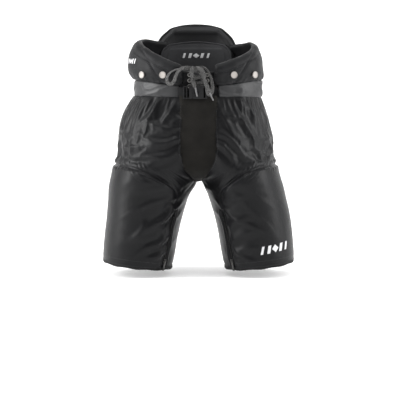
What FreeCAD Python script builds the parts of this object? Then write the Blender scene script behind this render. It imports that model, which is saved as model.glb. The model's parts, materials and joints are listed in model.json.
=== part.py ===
"""Ice hockey pants, worn size medium: waist, legs, guards, belt and buckle, lacing and inner-leg zippers.

Millimetres, +Z up, +X to the wearer's left, -Y to the front.
The origin is the centre of the waist at the belt's mid-height, where the wearer's waist holds the pants up.
"""

import math
import os

import FreeCAD
import Part

V = FreeCAD.Vector

# ---------------------------------------------------------------- driving dimensions
BELT_HALF = 22.0          # the belt tunnel reaches this far above and below the origin
WAIST_A = 162.0           # half-width of the belt tunnel's outer face
WAIST_B = 116.0           # half-depth of the belt tunnel's outer face
SKIN = 1.5                # nylon shell
GUARD = 3.0               # moulded thigh and hip guards
GAP = 0.5                 # between neighbouring soft parts
HEM_TILT = 8.0            # degrees; the outer edge of each hem is the higher one
HEM_Z = -447.0            # height of the hem under the crown of the leg
FLEX_X, FLEX_Z, FLEX_SLOPE = 200.0, -170.0, 0.5   # the line where the leg's padding starts
TAPE_HALF = 10.0          # zipper tape: half-width, depth under the leg's face, clearance round it
TAPE_TOP = 3.0
TAPE_GAP = 0.3
ZIP_ANGLE = -140.0        # place of the zipper round the leg, in degrees from the outer side
ZIP_TOP_Z, ZIP_END_Z = -320.0, -440.0
FLY_HALF = 46.0           # the kidney pads stop this far from the centre at the front
BACK_HALF = 100.0         # half-width of the back pad
BACK_TOP = 152.0          # top of the back pad
BUTTON_R = 8.5            # suspender button head
BUTTON_T = 2.6
BUTTON_STAND = 2.6        # clear space under the head for a suspender loop
LACE_R = 2.4
EYELET_X = 22.0
EYELET_ROWS = (8.0, 22.0, 36.0)
EYELET_HOLE, EYELET_RIM = 3.0, 5.2
BUCKLE_X, BUCKLE_Y, BUCKLE_Z = -14.0, -122.5, -7.0    # mouth of the buckle's socket
WEB_W, WEB_T = 25.0, 1.6  # belt webbing
STRAP_IN = 4.0            # depth of the webbing under the tunnel's face

# z, inner x, outer x, x of the crown, front depth, back depth of one side of the pants
STATIONS = (
    (-16.0, -160.0, 160.0, 0.0, 116.0, 118.0),
    (-56.0, -150.0, 183.0, 20.0, 129.0, 136.0),
    (-107.0, -120.0, 193.0, 40.0, 137.0, 148.0),
    (-160.0, -60.0, 203.0, 70.0, 138.0, 150.0),
    (-218.0, 0.0, 215.0, 105.0, 130.0, 142.0),
    (-261.0, 20.0, 224.0, 120.0, 124.0, 132.0),
    (-348.0, 47.0, 236.0, 140.0, 116.0, 122.0),
    (-440.0, 66.0, 245.0, 156.0, 108.0, 113.0),
    (-490.0, 77.0, 251.0, 164.0, 104.0, 109.0),
)
FOOT = (-475.0, 74.0, 249.0, 161.0)


# ---------------------------------------------------------------- small tools
def arc_quarter(cx, cy, ax, by, start):
    """A quarter of an ellipse about (cx, cy); start is 0, 90, 180 or 270 degrees."""
    def at(deg):
        t = math.radians(deg)
        return (cx + ax * math.cos(t), cy + by * math.sin(t))
    return at(start), at(start + 45), at(start + 90)


def ellipse_edge(cx, cy, z, ax, by, start):
    """A quarter ellipse as an edge, whichever radius is the longer."""
    major, minor = (ax, by) if ax >= by else (by, ax)
    curve = Part.Ellipse(V(0, 0, 0), major, minor)
    turn = 0.0 if ax >= by else 90.0
    first = math.radians(start - turn)
    edge = curve.toShape(first, first + math.pi / 2)
    edge.rotate(V(0, 0, 0), V(0, 0, 1), turn)
    edge.translate(V(cx, cy, z))
    return edge


def section(station, offset=0.0):
    """The closed outline of one side of the pants at a station, taken in by offset."""
    z, inner, outer, crown, front, back = station
    out, inn = outer - crown - offset, crown - inner - offset
    fro, bac = front - offset, back - offset
    edges = [
        ellipse_edge(crown, 0, z, out, bac, 0),
        ellipse_edge(crown, 0, z, inn, bac, 90),
        ellipse_edge(crown, 0, z, inn, fro, 180),
        ellipse_edge(crown, 0, z, out, fro, 270),
    ]
    return Part.Wire(edges)


def side_body(offset):
    """The solid inside one side's outline, taken in by offset."""
    return Part.makeLoft([section(s, offset) for s in STATIONS], True, False)


def side_layer(outer, inner):
    """The layer of one side of the pants between two offsets."""
    return side_body(outer).cut(side_body(inner))


def ring_body(levels):
    """A solid through horizontal ellipses given as (z, half-width, half-depth)."""
    wires = []
    for z, a, b in levels:
        wires.append(Part.Wire([ellipse_edge(0, 0, z, a, b, q) for q in (0, 90, 180, 270)]))
    return Part.makeLoft(wires, True, False)


def ring_layer(levels, outer, inner):
    """The layer between two offsets of a stack of ellipses."""
    big = ring_body([(z, a - outer, b - outer) for z, a, b in levels])
    small = ring_body([(z, a - inner, b - inner) for z, a, b in levels])
    return big.cut(small)


def block(x0, x1, y0, y1, z0, z1):
    return Part.makeBox(x1 - x0, y1 - y0, z1 - z0, V(x0, y0, z0))


def prism(points, plane, low, high):
    """A polygon in the XZ or YZ plane, pushed out along the third axis from low to high."""
    if plane == "XZ":
        corners, push = [V(p[0], low, p[1]) for p in points], V(0, high - low, 0)
    else:
        corners, push = [V(low, p[0], p[1]) for p in points], V(high - low, 0, 0)
    return Part.Face(Part.makePolygon(corners + corners[:1])).extrude(push)


def below_plane(x, z, slope, drop=0.0):
    """A block under the line z(x) = z - (x0 - x) * slope, for cutting the legs off the hips."""
    left, right, deep = -60.0, 320.0, -700.0
    line = [(left, z - (x - left) * slope - drop), (right, z - (x - right) * slope - drop)]
    return prism([line[0], line[1], (right, deep), (left, deep)], "XZ", -300, 300)


def above_hem(lift=0.0):
    """A block over the tilted hem line."""
    rise = math.tan(math.radians(HEM_TILT))
    z0 = HEM_Z + lift
    crown = FOOT[3]
    left, right = -60.0, 320.0
    line = [(left, z0 + (left - crown) * rise), (right, z0 + (right - crown) * rise)]
    return prism([line[0], line[1], (right, 300), (left, 300)], "XZ", -300, 300)


def leg_sector(first, last):
    """A wedge of the leg between two angles about its slanted axis; 0 degrees is the outer side."""
    top, foot = V(105, 0, -218), V(FOOT[3], 0, FOOT[0])
    along = foot - top
    start = top - along * 0.9
    push = along * 2.2
    reach = 600.0
    steps = max(2, int(math.ceil(abs(last - first) / 45.0)))
    rim = []
    for i in range(steps + 1):
        t = math.radians(first + (last - first) * i / steps)
        rim.append(V(start.x + reach * math.cos(t), reach * math.sin(t), start.z))
    corners = [V(start.x, 0, start.z)] + rim
    return Part.Face(Part.makePolygon(corners + corners[:1])).extrude(push)


def mirrored(shape):
    return shape.mirror(V(0, 0, 0), V(1, 0, 0))


def pair(name, shape, out):
    """The wearer's left piece as modelled, and the right one as its mirror image."""
    out[name + "_left"] = shape
    out[name + "_right"] = mirrored(shape)


def tube(points, radius, label):
    """A round cord along straight runs joined by tangent arcs, printed with its length and bends."""
    pts = [V(*p) for p in points]
    edges, at, radii = [], pts[0], []
    for i in range(1, len(pts) - 1):
        back, ahead = pts[i - 1] - pts[i], pts[i + 1] - pts[i]
        run = min(back.Length, ahead.Length)
        half = (math.pi - back.getAngle(ahead)) / 2
        take = 0.45 * run
        bend = take / math.tan(half)
        radii.append(bend)
        a = pts[i] + back.normalize() * take
        c = pts[i] + ahead.normalize() * take
        middle = (a + c) * 0.5
        toward = (pts[i] - middle)
        centre_far = bend / math.cos(half) - bend
        b = pts[i] - toward.normalize() * centre_far
        if (a - at).Length > 1e-6:
            edges.append(Part.LineSegment(at, a).toShape())
        edges.append(Part.Arc(a, b, c).toShape())
        at = c
    edges.append(Part.LineSegment(at, pts[-1]).toShape())
    path = Part.Wire(edges)
    start = Part.Wire(Part.Circle(pts[0], edges[0].tangentAt(edges[0].FirstParameter), radius).toShape())
    made = path.makePipeShell([start], True, False)
    share = made.Volume / (math.pi * radius ** 2 * path.Length)
    bends = f"bends {min(radii):.1f} to {max(radii):.1f} mm"
    print(f"{label}: {path.Length:.1f} mm, {bends}, volume share {share:.3f}")
    return made


# ---------------------------------------------------------------- legs
def leg_layers(out):
    """Everything that hangs below the flex line of one leg, and its mirror image."""
    hem = above_hem()
    under = below_plane(FLEX_X, FLEX_Z, FLEX_SLOPE, GAP)
    slot = zipper_slot()
    tape_room = zip_box(-TAPE_GAP, zip_length() + TAPE_GAP, TAPE_HALF + TAPE_GAP, TAPE_TOP - TAPE_GAP, 4.6)

    nylon = side_layer(0, SKIN).common(under).common(above_hem(4.0))
    thigh = nylon.common(leg_sector(-142, 146)).cut(slot).cut(tape_room)
    pair("thigh_shell", thigh, out)
    inner = nylon.common(leg_sector(147, 217)).cut(slot).cut(tape_room)
    pair("inner_leg_panel", inner, out)

    padded = below_plane(FLEX_X, FLEX_Z, FLEX_SLOPE, 8.0)
    lift = above_hem(9.0)
    guard = side_layer(3.2, 3.2 + GUARD).common(leg_sector(-125, -50))
    guard = guard.common(below_plane(FLEX_X, FLEX_Z, FLEX_SLOPE, 22.0)).common(above_hem(26.0))
    pair("thigh_guard", guard, out)
    front = side_layer(2.2, 18.0).common(leg_sector(-130, -45)).common(padded).common(lift)
    pocket = side_layer(2.9, 3.5 + GUARD).common(leg_sector(-126, -49))
    pocket = pocket.common(below_plane(FLEX_X, FLEX_Z, FLEX_SLOPE, 21.0)).common(above_hem(25.0))
    front = front.cut(pocket).cut(zip_box(-6, zip_length() + 60, 6.5, -6, 5)).cut(tape_room)
    pair("front_thigh_pad", biggest(front), out)
    outer = side_layer(2.2, 16.0).common(leg_sector(-43, 43)).common(padded).common(lift)
    pair("outer_thigh_pad", outer, out)
    rear = side_layer(2.2, 14.0).common(leg_sector(45, 138)).common(padded).common(lift)
    pair("rear_thigh_pad", rear, out)
    liner = side_layer(18.8, 20.0).common(below_plane(FLEX_X, FLEX_Z, FLEX_SLOPE, 4.0)).common(above_hem(5.0))
    pair("leg_liner", liner, out)

    edge = side_layer(-0.8, 21.5).cut(side_layer(1.9, 18.4))
    tape = side_layer(-0.8, 21.5).common(hem).cut(above_hem(3.6))
    wrap = edge.common(above_hem(3.6)).cut(above_hem(9.0))
    wrap = wrap.cut(side_layer(-0.1, 1.6)).cut(side_layer(18.7, 20.1))
    binding = tape.fuse([s for s in wrap.Solids if s.Volume > 500]).removeSplitter()
    pair("hem_binding", binding.cut(slot), out)
    zipper(out)


def zipper_frame():
    """The zipper's top and bottom points on the leg's face, then its own direction, outward normal and cross."""
    ends = []
    for z in (ZIP_TOP_Z, ZIP_END_Z):
        s = station_at(z)
        t = math.radians(ZIP_ANGLE)
        reach = (s[3] - s[1]) * math.cos(t)
        ends.append(V(s[3] + reach, s[4] * math.sin(t), z))
    along = (ends[1] - ends[0]).normalize()
    s = station_at((ZIP_TOP_Z + ZIP_END_Z) / 2)
    t = math.radians(ZIP_ANGLE)
    normal = V(math.cos(t) / (s[3] - s[1]), math.sin(t) / s[4], 0)
    normal = (normal - along * normal.dot(along)).normalize()
    return ends[0], ends[1], along, normal, along.cross(normal)


def station_at(z):
    """The outline's numbers at any height, between the stations."""
    for low, high in zip(STATIONS[1:], STATIONS[:-1]):
        if low[0] <= z <= high[0]:
            share = (z - high[0]) / (low[0] - high[0])
            return [h + (l - h) * share for h, l in zip(high, low)]
    raise ValueError(z)


def zip_box(start, end, half_width, depth0, depth1):
    """A straight bar along the zipper, from start to end mm below its top, between two depths."""
    top, _, along, normal, cross = zipper_frame()
    base = top + along * start - cross * half_width - normal * depth1
    over, up = cross * 2 * half_width, normal * (depth1 - depth0)
    corners = [base, base + over, base + over + up, base + up]
    return Part.Face(Part.makePolygon(corners + corners[:1])).extrude(along * (end - start))


def zip_length():
    top, end = zipper_frame()[:2]
    return (end - top).Length


def zipper_slot():
    """The gap in the shell that the zipper closes."""
    return zip_box(-4, zip_length() + 60, 6.5, -6, 10)


def zipper(out):
    top, end, along, normal, cross = zipper_frame()
    length = zip_length()
    tapes = zip_box(0, length, TAPE_HALF, TAPE_TOP, TAPE_TOP + 0.8).cut(zip_box(-1, length + 1, 0.4, 2, 5))
    pair("zipper_tape", Part.makeCompound(tapes.Solids), out)
    teeth = []
    pitch, count = 4.0, int(length // 4.0) - 2
    for i in range(count):
        at = 6.0 + i * pitch
        teeth.append(zip_box(at, at + pitch * 0.62, 1.9, 1.4, 2.9))
    teeth.append(zip_box(1.0, 3.4, 3.2, 0.6, 2.9))
    pair("zipper_teeth", Part.makeCompound(teeth), out)
    # the slider stands at the hem end when the leg is closed
    low = length - 12.0
    slider = zip_box(low, low + 9.0, 4.6, -1.2, -0.2).fuse(zip_box(low + 3.0, low + 6.0, 0.9, -0.3, 1.0))
    bridge = zip_box(low + 1.0, low + 2.4, 1.3, -3.2, -1.1)
    bridge = bridge.fuse(zip_box(low + 6.6, low + 8.0, 1.3, -3.2, -1.1))
    bridge = bridge.fuse(zip_box(low + 1.0, low + 8.0, 1.3, -4.0, -3.2))
    pair("zipper_slider", slider.fuse(bridge).removeSplitter(), out)
    plate = zip_box(low + 3.6, low + 30.0, 3.4, -2.7, -1.6)
    plate = plate.cut(zip_box(low + 5.2, low + 9.4, 1.7, -4, 0))
    plate = plate.cut(zip_box(low + 24.0, low + 27.5, 1.6, -4, 0))
    pair("zipper_pull", plate, out)
    print("zip pull pivot", top + along * (low + 4.4) + normal * 2.15, "axis", cross)
    print("zip slide", along, "length", length)


# ---------------------------------------------------------------- hips and seat
GUSSET_FRONT = ((-41, -24), (-43, -107), (-45, -150), (-40, -182), (-30, -204), (-17, -226), (-15, -240),
                (15, -240), (17, -226), (30, -204), (40, -182), (45, -150), (43, -107), (41, -24))
GUSSET_BACK = ((-34, -24), (-40, -107), (-42, -150), (-38, -182), (-29, -204), (-17, -226), (-15, -240),
               (15, -240), (17, -226), (29, -204), (38, -182), (42, -150), (40, -107), (34, -24))


def grown(outline, margin):
    """A gusset outline with its sides moved out by margin, and its top well above the waist."""
    moved = [(x + math.copysign(margin, x), z) for x, z in outline]
    moved[0] = (moved[0][0], 0)
    moved[-1] = (moved[-1][0], 0)
    return moved


def gusset_wall(side):
    """Outer face of the centre strip in the YZ plane, from belt to crotch; side is -1 in front."""
    if side < 0:
        line = [(-117.5, -24), (-130.5, -58), (-136.5, -107), (-134.5, -158), (-121, -190), (-84, -216),
                (0, -231)]
    else:
        line = [(119.5, -24), (137, -58), (147.5, -107), (146, -158), (131, -190), (90, -216), (0, -231)]
    return line


def gusset(side, outline, thick):
    line = gusset_wall(side)
    curve = Part.BSplineCurve()
    curve.interpolate([V(-80, y, z) for y, z in line])
    inner = Part.BSplineCurve()
    inner.interpolate([V(-80, y - side * thick * (1 if i < 5 else 0.5), z + thick * (0 if i < 4 else 1))
                       for i, (y, z) in enumerate(line)])
    a, b = curve.toShape(), inner.toShape()
    caps = [Part.LineSegment(a.Vertexes[i].Point, b.Vertexes[i].Point).toShape() for i in (0, 1)]
    face = Part.Face(Part.Wire(Part.__sortEdges__([a, b] + caps)))
    ribbon = face.extrude(V(160, 0, 0))
    y0, y1 = (-300, 0) if side < 0 else (0, 300)
    return ribbon.common(prism(outline, "XZ", y0, y1))


def hips(out):
    over = block(-60, 320, -300, 300, -250, -BELT_HALF - 1)
    wall = side_layer(0, SKIN).common(over.fuse(block(-60, 320, -300, 300, -400, -249)))
    wall = wall.cut(below_plane(FLEX_X, FLEX_Z, FLEX_SLOPE))
    wall = wall.cut(prism(grown(GUSSET_FRONT, GAP), "XZ", -300, 0))
    wall = wall.cut(prism(grown(GUSSET_BACK, GAP), "XZ", 0, 300))
    wall = wall.cut(block(-300, 8, -300, 300, -400, 10))
    wall = biggest(wall)
    pair("hip_shell", wall, out)
    out["front_gusset"] = biggest(gusset(-1, GUSSET_FRONT, 2.2))
    out["rear_gusset"] = biggest(gusset(1, GUSSET_BACK, 2.2))
    pad = side_layer(2.2, 14.0).common(block(100, 320, -58, 70, -92, -28))
    pair("hip_pad", biggest(pad), out)
    tail = side_tailbone()
    out["tailbone_pad"] = tail


def side_tailbone():
    """The tailbone pad: a slab behind the seat, inside the rear gusset."""
    line = gusset_wall(1)[:4]
    outer = [(y - 4.0, z) for y, z in line]
    inner = [(y - 18.0, z) for y, z in line]
    outer[0], inner[0] = (outer[0][0] + 1, -30), (inner[0][0] + 1, -30)
    slab = prism(outer + inner[::-1], "YZ", -32, 32)
    return slab


def biggest(shape):
    return max(shape.Solids, key=lambda s: s.Volume)


# ---------------------------------------------------------------- waist pads
KIDNEY = ((20.0, 165.0, 119.0), (40.0, 173.0, 126.0), (70.0, 172.0, 126.0), (100.0, 164.0, 120.0),
          (130.0, 150.0, 110.0))
BACK = ((-40.0, 170.0, 124.0), (24.0, 172.0, 126.0), (90.0, 171.0, 129.0), (160.0, 166.0, 131.0))
KIDNEY_TOP = ((-140, 46), (-118, 48), (-95, 76), (-66, 98), (-20, 114), (30, 122), (85, 120), (130, 108))


def kidney_zone(lift=0.0):
    """Space of the kidney pads: from the fly round to the back pad, under their curved top edge."""
    top = [(y, z + lift) for y, z in KIDNEY_TOP]
    side = prism([(-140, BELT_HALF + 0.4)] + top + [(130, BELT_HALF + 0.4)], "YZ", -300, 300)
    front = block(FLY_HALF, 300, -300, 0, -100, 300)
    back = block(BACK_HALF + 1.5, 300, 0, 300, -100, 300)
    return side.common(front.fuse(back))


def waist_pads(out):
    pad = ring_layer(KIDNEY, 0, 22.0).common(kidney_zone())
    plate = ring_layer(KIDNEY, 7.0, 7.0 + GUARD).common(block(120, 300, -62, 70, 34, 92))
    room = ring_layer(KIDNEY, 6.8, 7.2 + GUARD).common(block(119.5, 300, -62.5, 70.5, 33.5, 92.5))
    pad = pad.cut(room)
    for x in (87.0, 139.0):
        pad = pad.cut(button_hole(*front_button(x)))
    pair("kidney_pad", biggest(pad), out)
    pair("hip_guard", biggest(plate), out)

    slab = ring_layer(BACK, 0, 26.0).common(block(-200, 200, 0, 300, -60, 300))
    foot = BELT_HALF + 0.4
    shoulders = [(BACK_HALF - 2, foot), (BACK_HALF, 76), (BACK_HALF - 10, 120), (48, BACK_TOP)]
    cover = slab.common(back_outline(shoulders, (0, 60, 24, 20)))
    spine = ring_layer(BACK, 8.0, 8.0 + GUARD).common(block(-60, 60, 0, 300, 36, 128))
    pocket = ring_layer(BACK, 7.8, 8.2 + GUARD).common(block(-60.5, 60.5, 0, 300, 35.5, 128.5))
    cover = cover.cut(pocket)
    for x in (-42.0, 42.0):
        cover = cover.cut(button_hole(*back_button(x)))
    out["back_pad"] = biggest(cover)
    out["spine_guard"] = biggest(spine)
    lining = ring_layer(BACK, 26.4, 34.0).common(block(-200, 200, 0, 300, -60, 300))
    out["back_liner"] = biggest(lining.common(back_outline([(88, -BELT_HALF), (90, 108)], (0, 30))))
    band = ring_layer(BACK, 11.0, 15.5).common(block(-200, 200, 0, 300, -60, 300))
    rims = []
    for grow in (2.8, 0.2):
        at = [(x + grow, z + (grow if i > 1 else 0)) for i, (x, z) in enumerate(shoulders)]
        at[0] = (at[0][0], foot + (0 if grow > 1 else -8))
        rims.append(back_outline(at, (0, 60, 24 + grow, 20 + grow)))
    binding = band.common(rims[0].cut(rims[1]))
    side = block(BACK_HALF + 1.2, 300, 0, 300, 0, 112)
    binding = binding.cut(side.fuse(mirrored(side)))
    out["back_pad_binding"] = biggest(binding)


def back_outline(corners, fillets):
    """A shape seen from the front, as a deep prism; its corners are given for one side."""
    points = [(-x, z) for x, z in corners] + [(x, z) for x, z in reversed(corners)]
    solid = prism(points, "XZ", 1, 290)
    for (x, z), fillet in zip(corners, fillets):
        if fillet:
            ends = [e for e in solid.Edges if is_corner(e, x, z)]
            solid = solid.makeFillet(fillet, ends)
    return solid


def is_corner(edge, x, z):
    centre = edge.CenterOfMass
    return edge.Length > 280 and abs(abs(centre.x) - x) < 0.01 and abs(centre.z - z) < 0.01


def front_button(x):
    """Place and outward direction of a suspender button on a kidney pad."""
    a, b = 172.6, 125.6
    y = -b * math.sqrt(1 - (x / a) ** 2)
    return V(x, y, 36.0), V(x / a ** 2, y / b ** 2, 0).normalize()


def back_button(x):
    a, b = 171.9, 126.7
    y = b * math.sqrt(1 - (x / a) ** 2)
    return V(x, y, 40.0), V(x / a ** 2, y / b ** 2, 0).normalize()


def button_hole(place, out_way):
    return Part.makeCylinder(3.2, 12.0, place - out_way * 6.0, out_way).fuse(
        Part.makeCylinder(7.2, 1.4, place - out_way * 6.2, out_way))


def button(place, out_way):
    """A riveted suspender button: backing disc in the pad, neck, and dished head."""
    disc = Part.makeCylinder(6.8, 1.0, place - out_way * 6.0, out_way)
    neck = Part.makeCylinder(3.0, 6.0 + BUTTON_STAND, place - out_way * 6.0, out_way)
    head = Part.makeCylinder(BUTTON_R, BUTTON_T, place + out_way * BUTTON_STAND, out_way)
    dish = Part.makeCylinder(BUTTON_R - 1.6, 1.0, place + out_way * (BUTTON_STAND + BUTTON_T - 0.7), out_way)
    return disc.fuse([neck, head]).removeSplitter().cut(dish)


def buttons(out):
    front = [button(*front_button(x)) for x in (-139.0, -87.0, 87.0, 139.0)]
    out["suspender_buttons_front"] = Part.makeCompound(front)
    out["suspender_buttons_rear"] = Part.makeCompound([button(*back_button(x)) for x in (-42.0, 42.0)])
    for x in (-139.0, -87.0, 87.0, 139.0):
        place, way = front_button(x)
        print("front button", place + way * (BUTTON_STAND + BUTTON_T / 2), way)
    for x in (-42.0, 42.0):
        place, way = back_button(x)
        print("rear button", place + way * (BUTTON_STAND + BUTTON_T / 2), way)


# ---------------------------------------------------------------- belt, buckle and fly
TUNNEL = ((-BELT_HALF, WAIST_A, WAIST_B), (BELT_HALF, WAIST_A, WAIST_B))


def belt(out):
    wall = ring_layer(TUNNEL, 0, 8.0)
    channel_levels = ((-BELT_HALF + 2, WAIST_A, WAIST_B), (BELT_HALF - 2, WAIST_A, WAIST_B))
    channel = ring_layer(channel_levels, 2.0, 6.0)
    half = block(0, 300, -300, 300, -60, 60).cut(block(0, FLY_HALF + 4, -300, 0, -60, 60))
    pair("belt_tunnel", biggest(wall.cut(channel).common(half)), out)
    strap_levels = ((BUCKLE_Z - WEB_W / 2, WAIST_A, WAIST_B), (BUCKLE_Z + WEB_W / 2, WAIST_A, WAIST_B))
    strap = ring_layer(strap_levels, STRAP_IN - WEB_T / 2, STRAP_IN + WEB_T / 2)
    strap = strap.cut(block(-80, 44, -300, 0, -60, 60))
    x, y = BUCKLE_X, BUCKLE_Y
    lead = strap_run([(x + 31.0, y + 6.4), (x + 37.5, y + 6.4), (44.5, strap_y(44.5))])
    out["belt_webbing"] = biggest(strap.fuse(lead))
    slack = [(-at, strap_y(at)) for at in (79.5, 65.0, 51.0)] + [(x - 25.5, y + 5.6), (x - 14.5, y + 5.6)]
    out["belt_strap_clip_side"] = strap_run(slack)


def strap_y(x):
    """Front-to-back place of the webbing's middle inside the tunnel, at x."""
    return -(WAIST_B - STRAP_IN) * math.sqrt(1 - (x / (WAIST_A - STRAP_IN)) ** 2)


def strap_run(points):
    """Webbing of constant thickness through points (x, y) seen from above."""
    low, high = BUCKLE_Z - WEB_W / 2, BUCKLE_Z + WEB_W / 2
    outer = [V(x, y - WEB_T / 2, low) for x, y in points]
    inner = [V(x, y + WEB_T / 2, low) for x, y in points]
    face = Part.Face(Part.makePolygon(outer + inner[::-1] + outer[:1]))
    return face.extrude(V(0, 0, high - low))


def buckle(out):
    x, y, z = BUCKLE_X, BUCKLE_Y, BUCKLE_Z
    half = 16.0
    socket = block(x, x + 36, y - 5, y + 5, z - half, z + half)
    socket = socket.makeFillet(1.6, [e for e in socket.Edges if abs(e.Length - 10) < 1e-6])
    cavity = block(x - 1, x + 20, y - 2.9, y + 2.9, z - 13.2, z + 13.2)
    windows = block(x + 5, x + 17, y - 2.9, y + 2.9, z - half - 1, z + half + 1)
    front = block(x + 3, x + 15, y - 6, y - 2, z - 3, z + 3)
    slot = block(x + 27, x + 31.5, y - 6, y + 6, z - 13.5, z + 13.5)
    out["buckle_socket"] = socket.cut(cavity).cut(windows).cut(slot).cut(front)

    clip = block(x - 24, x - 0.6, y - 4.2, y + 4.2, z - half + 0.5, z + half - 0.5)
    clip = clip.makeFillet(1.4, [e for e in clip.Edges if abs(e.Length - 8.4) < 1e-6])
    for low in (x - 21.0, x - 13.6):
        clip = clip.cut(block(low, low + 4.6, y - 6, y + 6, z - 13.2, z + 13.2))
    tongue = block(x - 1.0, x + 13, y - 2.2, y + 2.2, z - 2.4, z + 2.4)
    out["buckle_clip"] = clip.fuse(tongue).removeSplitter()
    for name, side in (("buckle_prong_upper", 1), ("buckle_prong_lower", -1)):
        arm = [(x - 0.3, 7.6), (x + 10, 8.4), (x + 15, 9.6), (x + 16.2, 11.2), (x + 14, 12.6), (x + 7, 12.9),
               (x + 5.6, 11.6), (x - 0.3, 11.2)]
        out[name] = prism([(px, z + side * pz) for px, pz in arm], "XZ", y - 2.2, y + 2.2)


def fly(out):
    levels = ((-30.0, WAIST_A, WAIST_B), (60.0, WAIST_A + 2, WAIST_B + 1))
    front = block(-300, 300, -300, 0, -BELT_HALF + 1, 44)
    face = ring_layer(levels, 9.0, 11.5).common(front).common(block(10, 62, -300, 0, -100, 100))
    face = face.cut(block(FLY_HALF - GAP, 300, -300, 0, BELT_HALF - GAP, 100))
    eyelets = []
    for row in EYELET_ROWS:
        for x in (-EYELET_X, EYELET_X):
            y = -(WAIST_B - 9.0) * math.sqrt(1 - (x / (WAIST_A - 9.0)) ** 2)
            start = V(x, y - 3.0, row)
            hole = Part.makeCylinder(EYELET_HOLE + 1.1, 12, start, V(0, 1, 0))
            if x > 0:
                face = face.cut(hole)
            rim = Part.makeCylinder(EYELET_RIM, 1.0, V(x, y - 2.6, row), V(0, 1, 0))
            barrel = Part.makeCylinder(EYELET_HOLE + 0.9, 6.2, V(x, y - 2.6, row), V(0, 1, 0))
            back = Part.makeCylinder(EYELET_RIM, 1.0, V(x, y + 3.6, row), V(0, 1, 0))
            bore = Part.makeCylinder(EYELET_HOLE, 14, V(x, y - 5, row), V(0, 1, 0))
            eyelets.append(rim.fuse([barrel, back]).removeSplitter().cut(bore))
    pair("fly_facing", biggest(face), out)
    out["lace_eyelets"] = Part.makeCompound(eyelets)
    tongue = ring_layer(levels, 20.0, 24.0).common(block(-300, 300, -300, 0, -BELT_HALF + 1, 44))
    out["fly_tongue"] = biggest(tongue.common(block(-56, 56, -300, 0, -100, 100)))


# ---------------------------------------------------------------- lace
KNOT = (-9.0, -124.0, 50.0)


def lacing(out):
    """The lace through the eyelets: a bar across the lowest pair, then two crossings."""
    y_hole = -(WAIST_B - 9.0) * math.sqrt(1 - (EYELET_X / (WAIST_A - 9.0)) ** 2)
    inside, near, far = y_hole + 8.0, y_hole - 4.6, y_hole - 10.0
    x, low = EYELET_X, EYELET_ROWS[0]
    runs = [tube([(-x, inside, low), (-x, near, low), (x, near, low), (x, inside, low)], LACE_R, "lace bar")]
    for row in EYELET_ROWS[1:]:
        for side, front in ((1, near), (-1, far)):
            points = [(side * 8.0, front, row - 6.5), (-side * (x - 3), front, row - 0.5)]
            points.append((-side * x, inside, row))
            runs.append(tube(points, LACE_R, "lace crossing"))
    out["lace_crossing"] = Part.makeCompound(runs)


def bow(out):
    """The bow: a knot, two loops and two tails that end in aglets."""
    kx, ky, kz = KNOT
    knot = Part.makeSphere(6.0)
    knot = knot.transformGeometry(FreeCAD.Matrix(1.7, 0, 0, kx, 0, 0.9, 0, ky, 0, 0, 1.05, kz))
    out["lace_knot"] = knot
    out["lace_loop_right"] = tube(LOOP_RIGHT, LACE_R, "right loop")
    out["lace_loop_left"] = tube(LOOP_LEFT, LACE_R, "left loop")
    out["lace_tail_right"] = tube(TAIL_RIGHT, LACE_R, "right tail")
    out["lace_tail_left"] = tube(TAIL_LEFT, LACE_R, "left tail")
    tips = []
    for a, b in ((TAIL_RIGHT[-1], AGLET_RIGHT), (TAIL_LEFT[-1], AGLET_LEFT)):
        way = V(*b) - V(*a)
        start = V(*a) + way * 0.01
        tips.append(Part.makeCylinder(1.9, way.Length, start, way))
    out["lace_aglets"] = Part.makeCompound(tips)


# Each free run of the lace, from the knot; the loops come back to it.
LOOP_RIGHT = ((-17, -125, 52), (-33, -131, 56), (-48, -131, 49), (-56, -129, 34), (-60, -126, 19),
              (-70, -122, 11), (-79, -120, 20), (-76, -121, 36), (-62, -125, 48), (-44, -127, 52),
              (-29, -125, 47), (-16, -122, 48))
LOOP_LEFT = ((-1, -125, 53), (13, -131, 57), (25, -133, 45), (32, -133, 28), (35, -132, 10), (34, -131, -7),
             (27, -131, -16), (20, -131, -6), (19, -131, 10), (15, -130, 27), (8, -128, 40), (-2, -122, 48))
TAIL_RIGHT = ((-12, -126, 54), (-15, -135, 53), (-17, -138, 41), (-16, -138, 27), (-12, -138, 14),
              (-7, -138, 3))
TAIL_LEFT = ((-6, -126, 53), (4, -135, 54), (12, -140, 43), (16, -141, 28), (19, -140, 13), (25, -140, 0),
             (29, -139, -10))
AGLET_RIGHT = (-3, -138, -17)
AGLET_LEFT = (37, -138, -27)


def main():
    os.makedirs("parts", exist_ok=True)
    out = {}
    leg_layers(out)
    hips(out)
    waist_pads(out)
    buttons(out)
    belt(out)
    buckle(out)
    fly(out)
    lacing(out)
    bow(out)
    for name in sorted(os.listdir("parts")):
        if name.endswith(".step"):
            os.remove(os.path.join("parts", name))
    for name, shape in out.items():
        good = shape.isValid() and all(s.isValid() and s.Volume > 0 for s in shape.Solids)
        note = "" if good and shape.Solids else "  <-- not valid"
        print(f"{name}: {len(shape.Solids)} solids, {shape.Volume / 1000:.1f} cm3{note}")
        shape.exportStep(os.path.join("parts", name + ".step"))
    print(len(out), "nodes")


main()
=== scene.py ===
import json
import math

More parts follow.
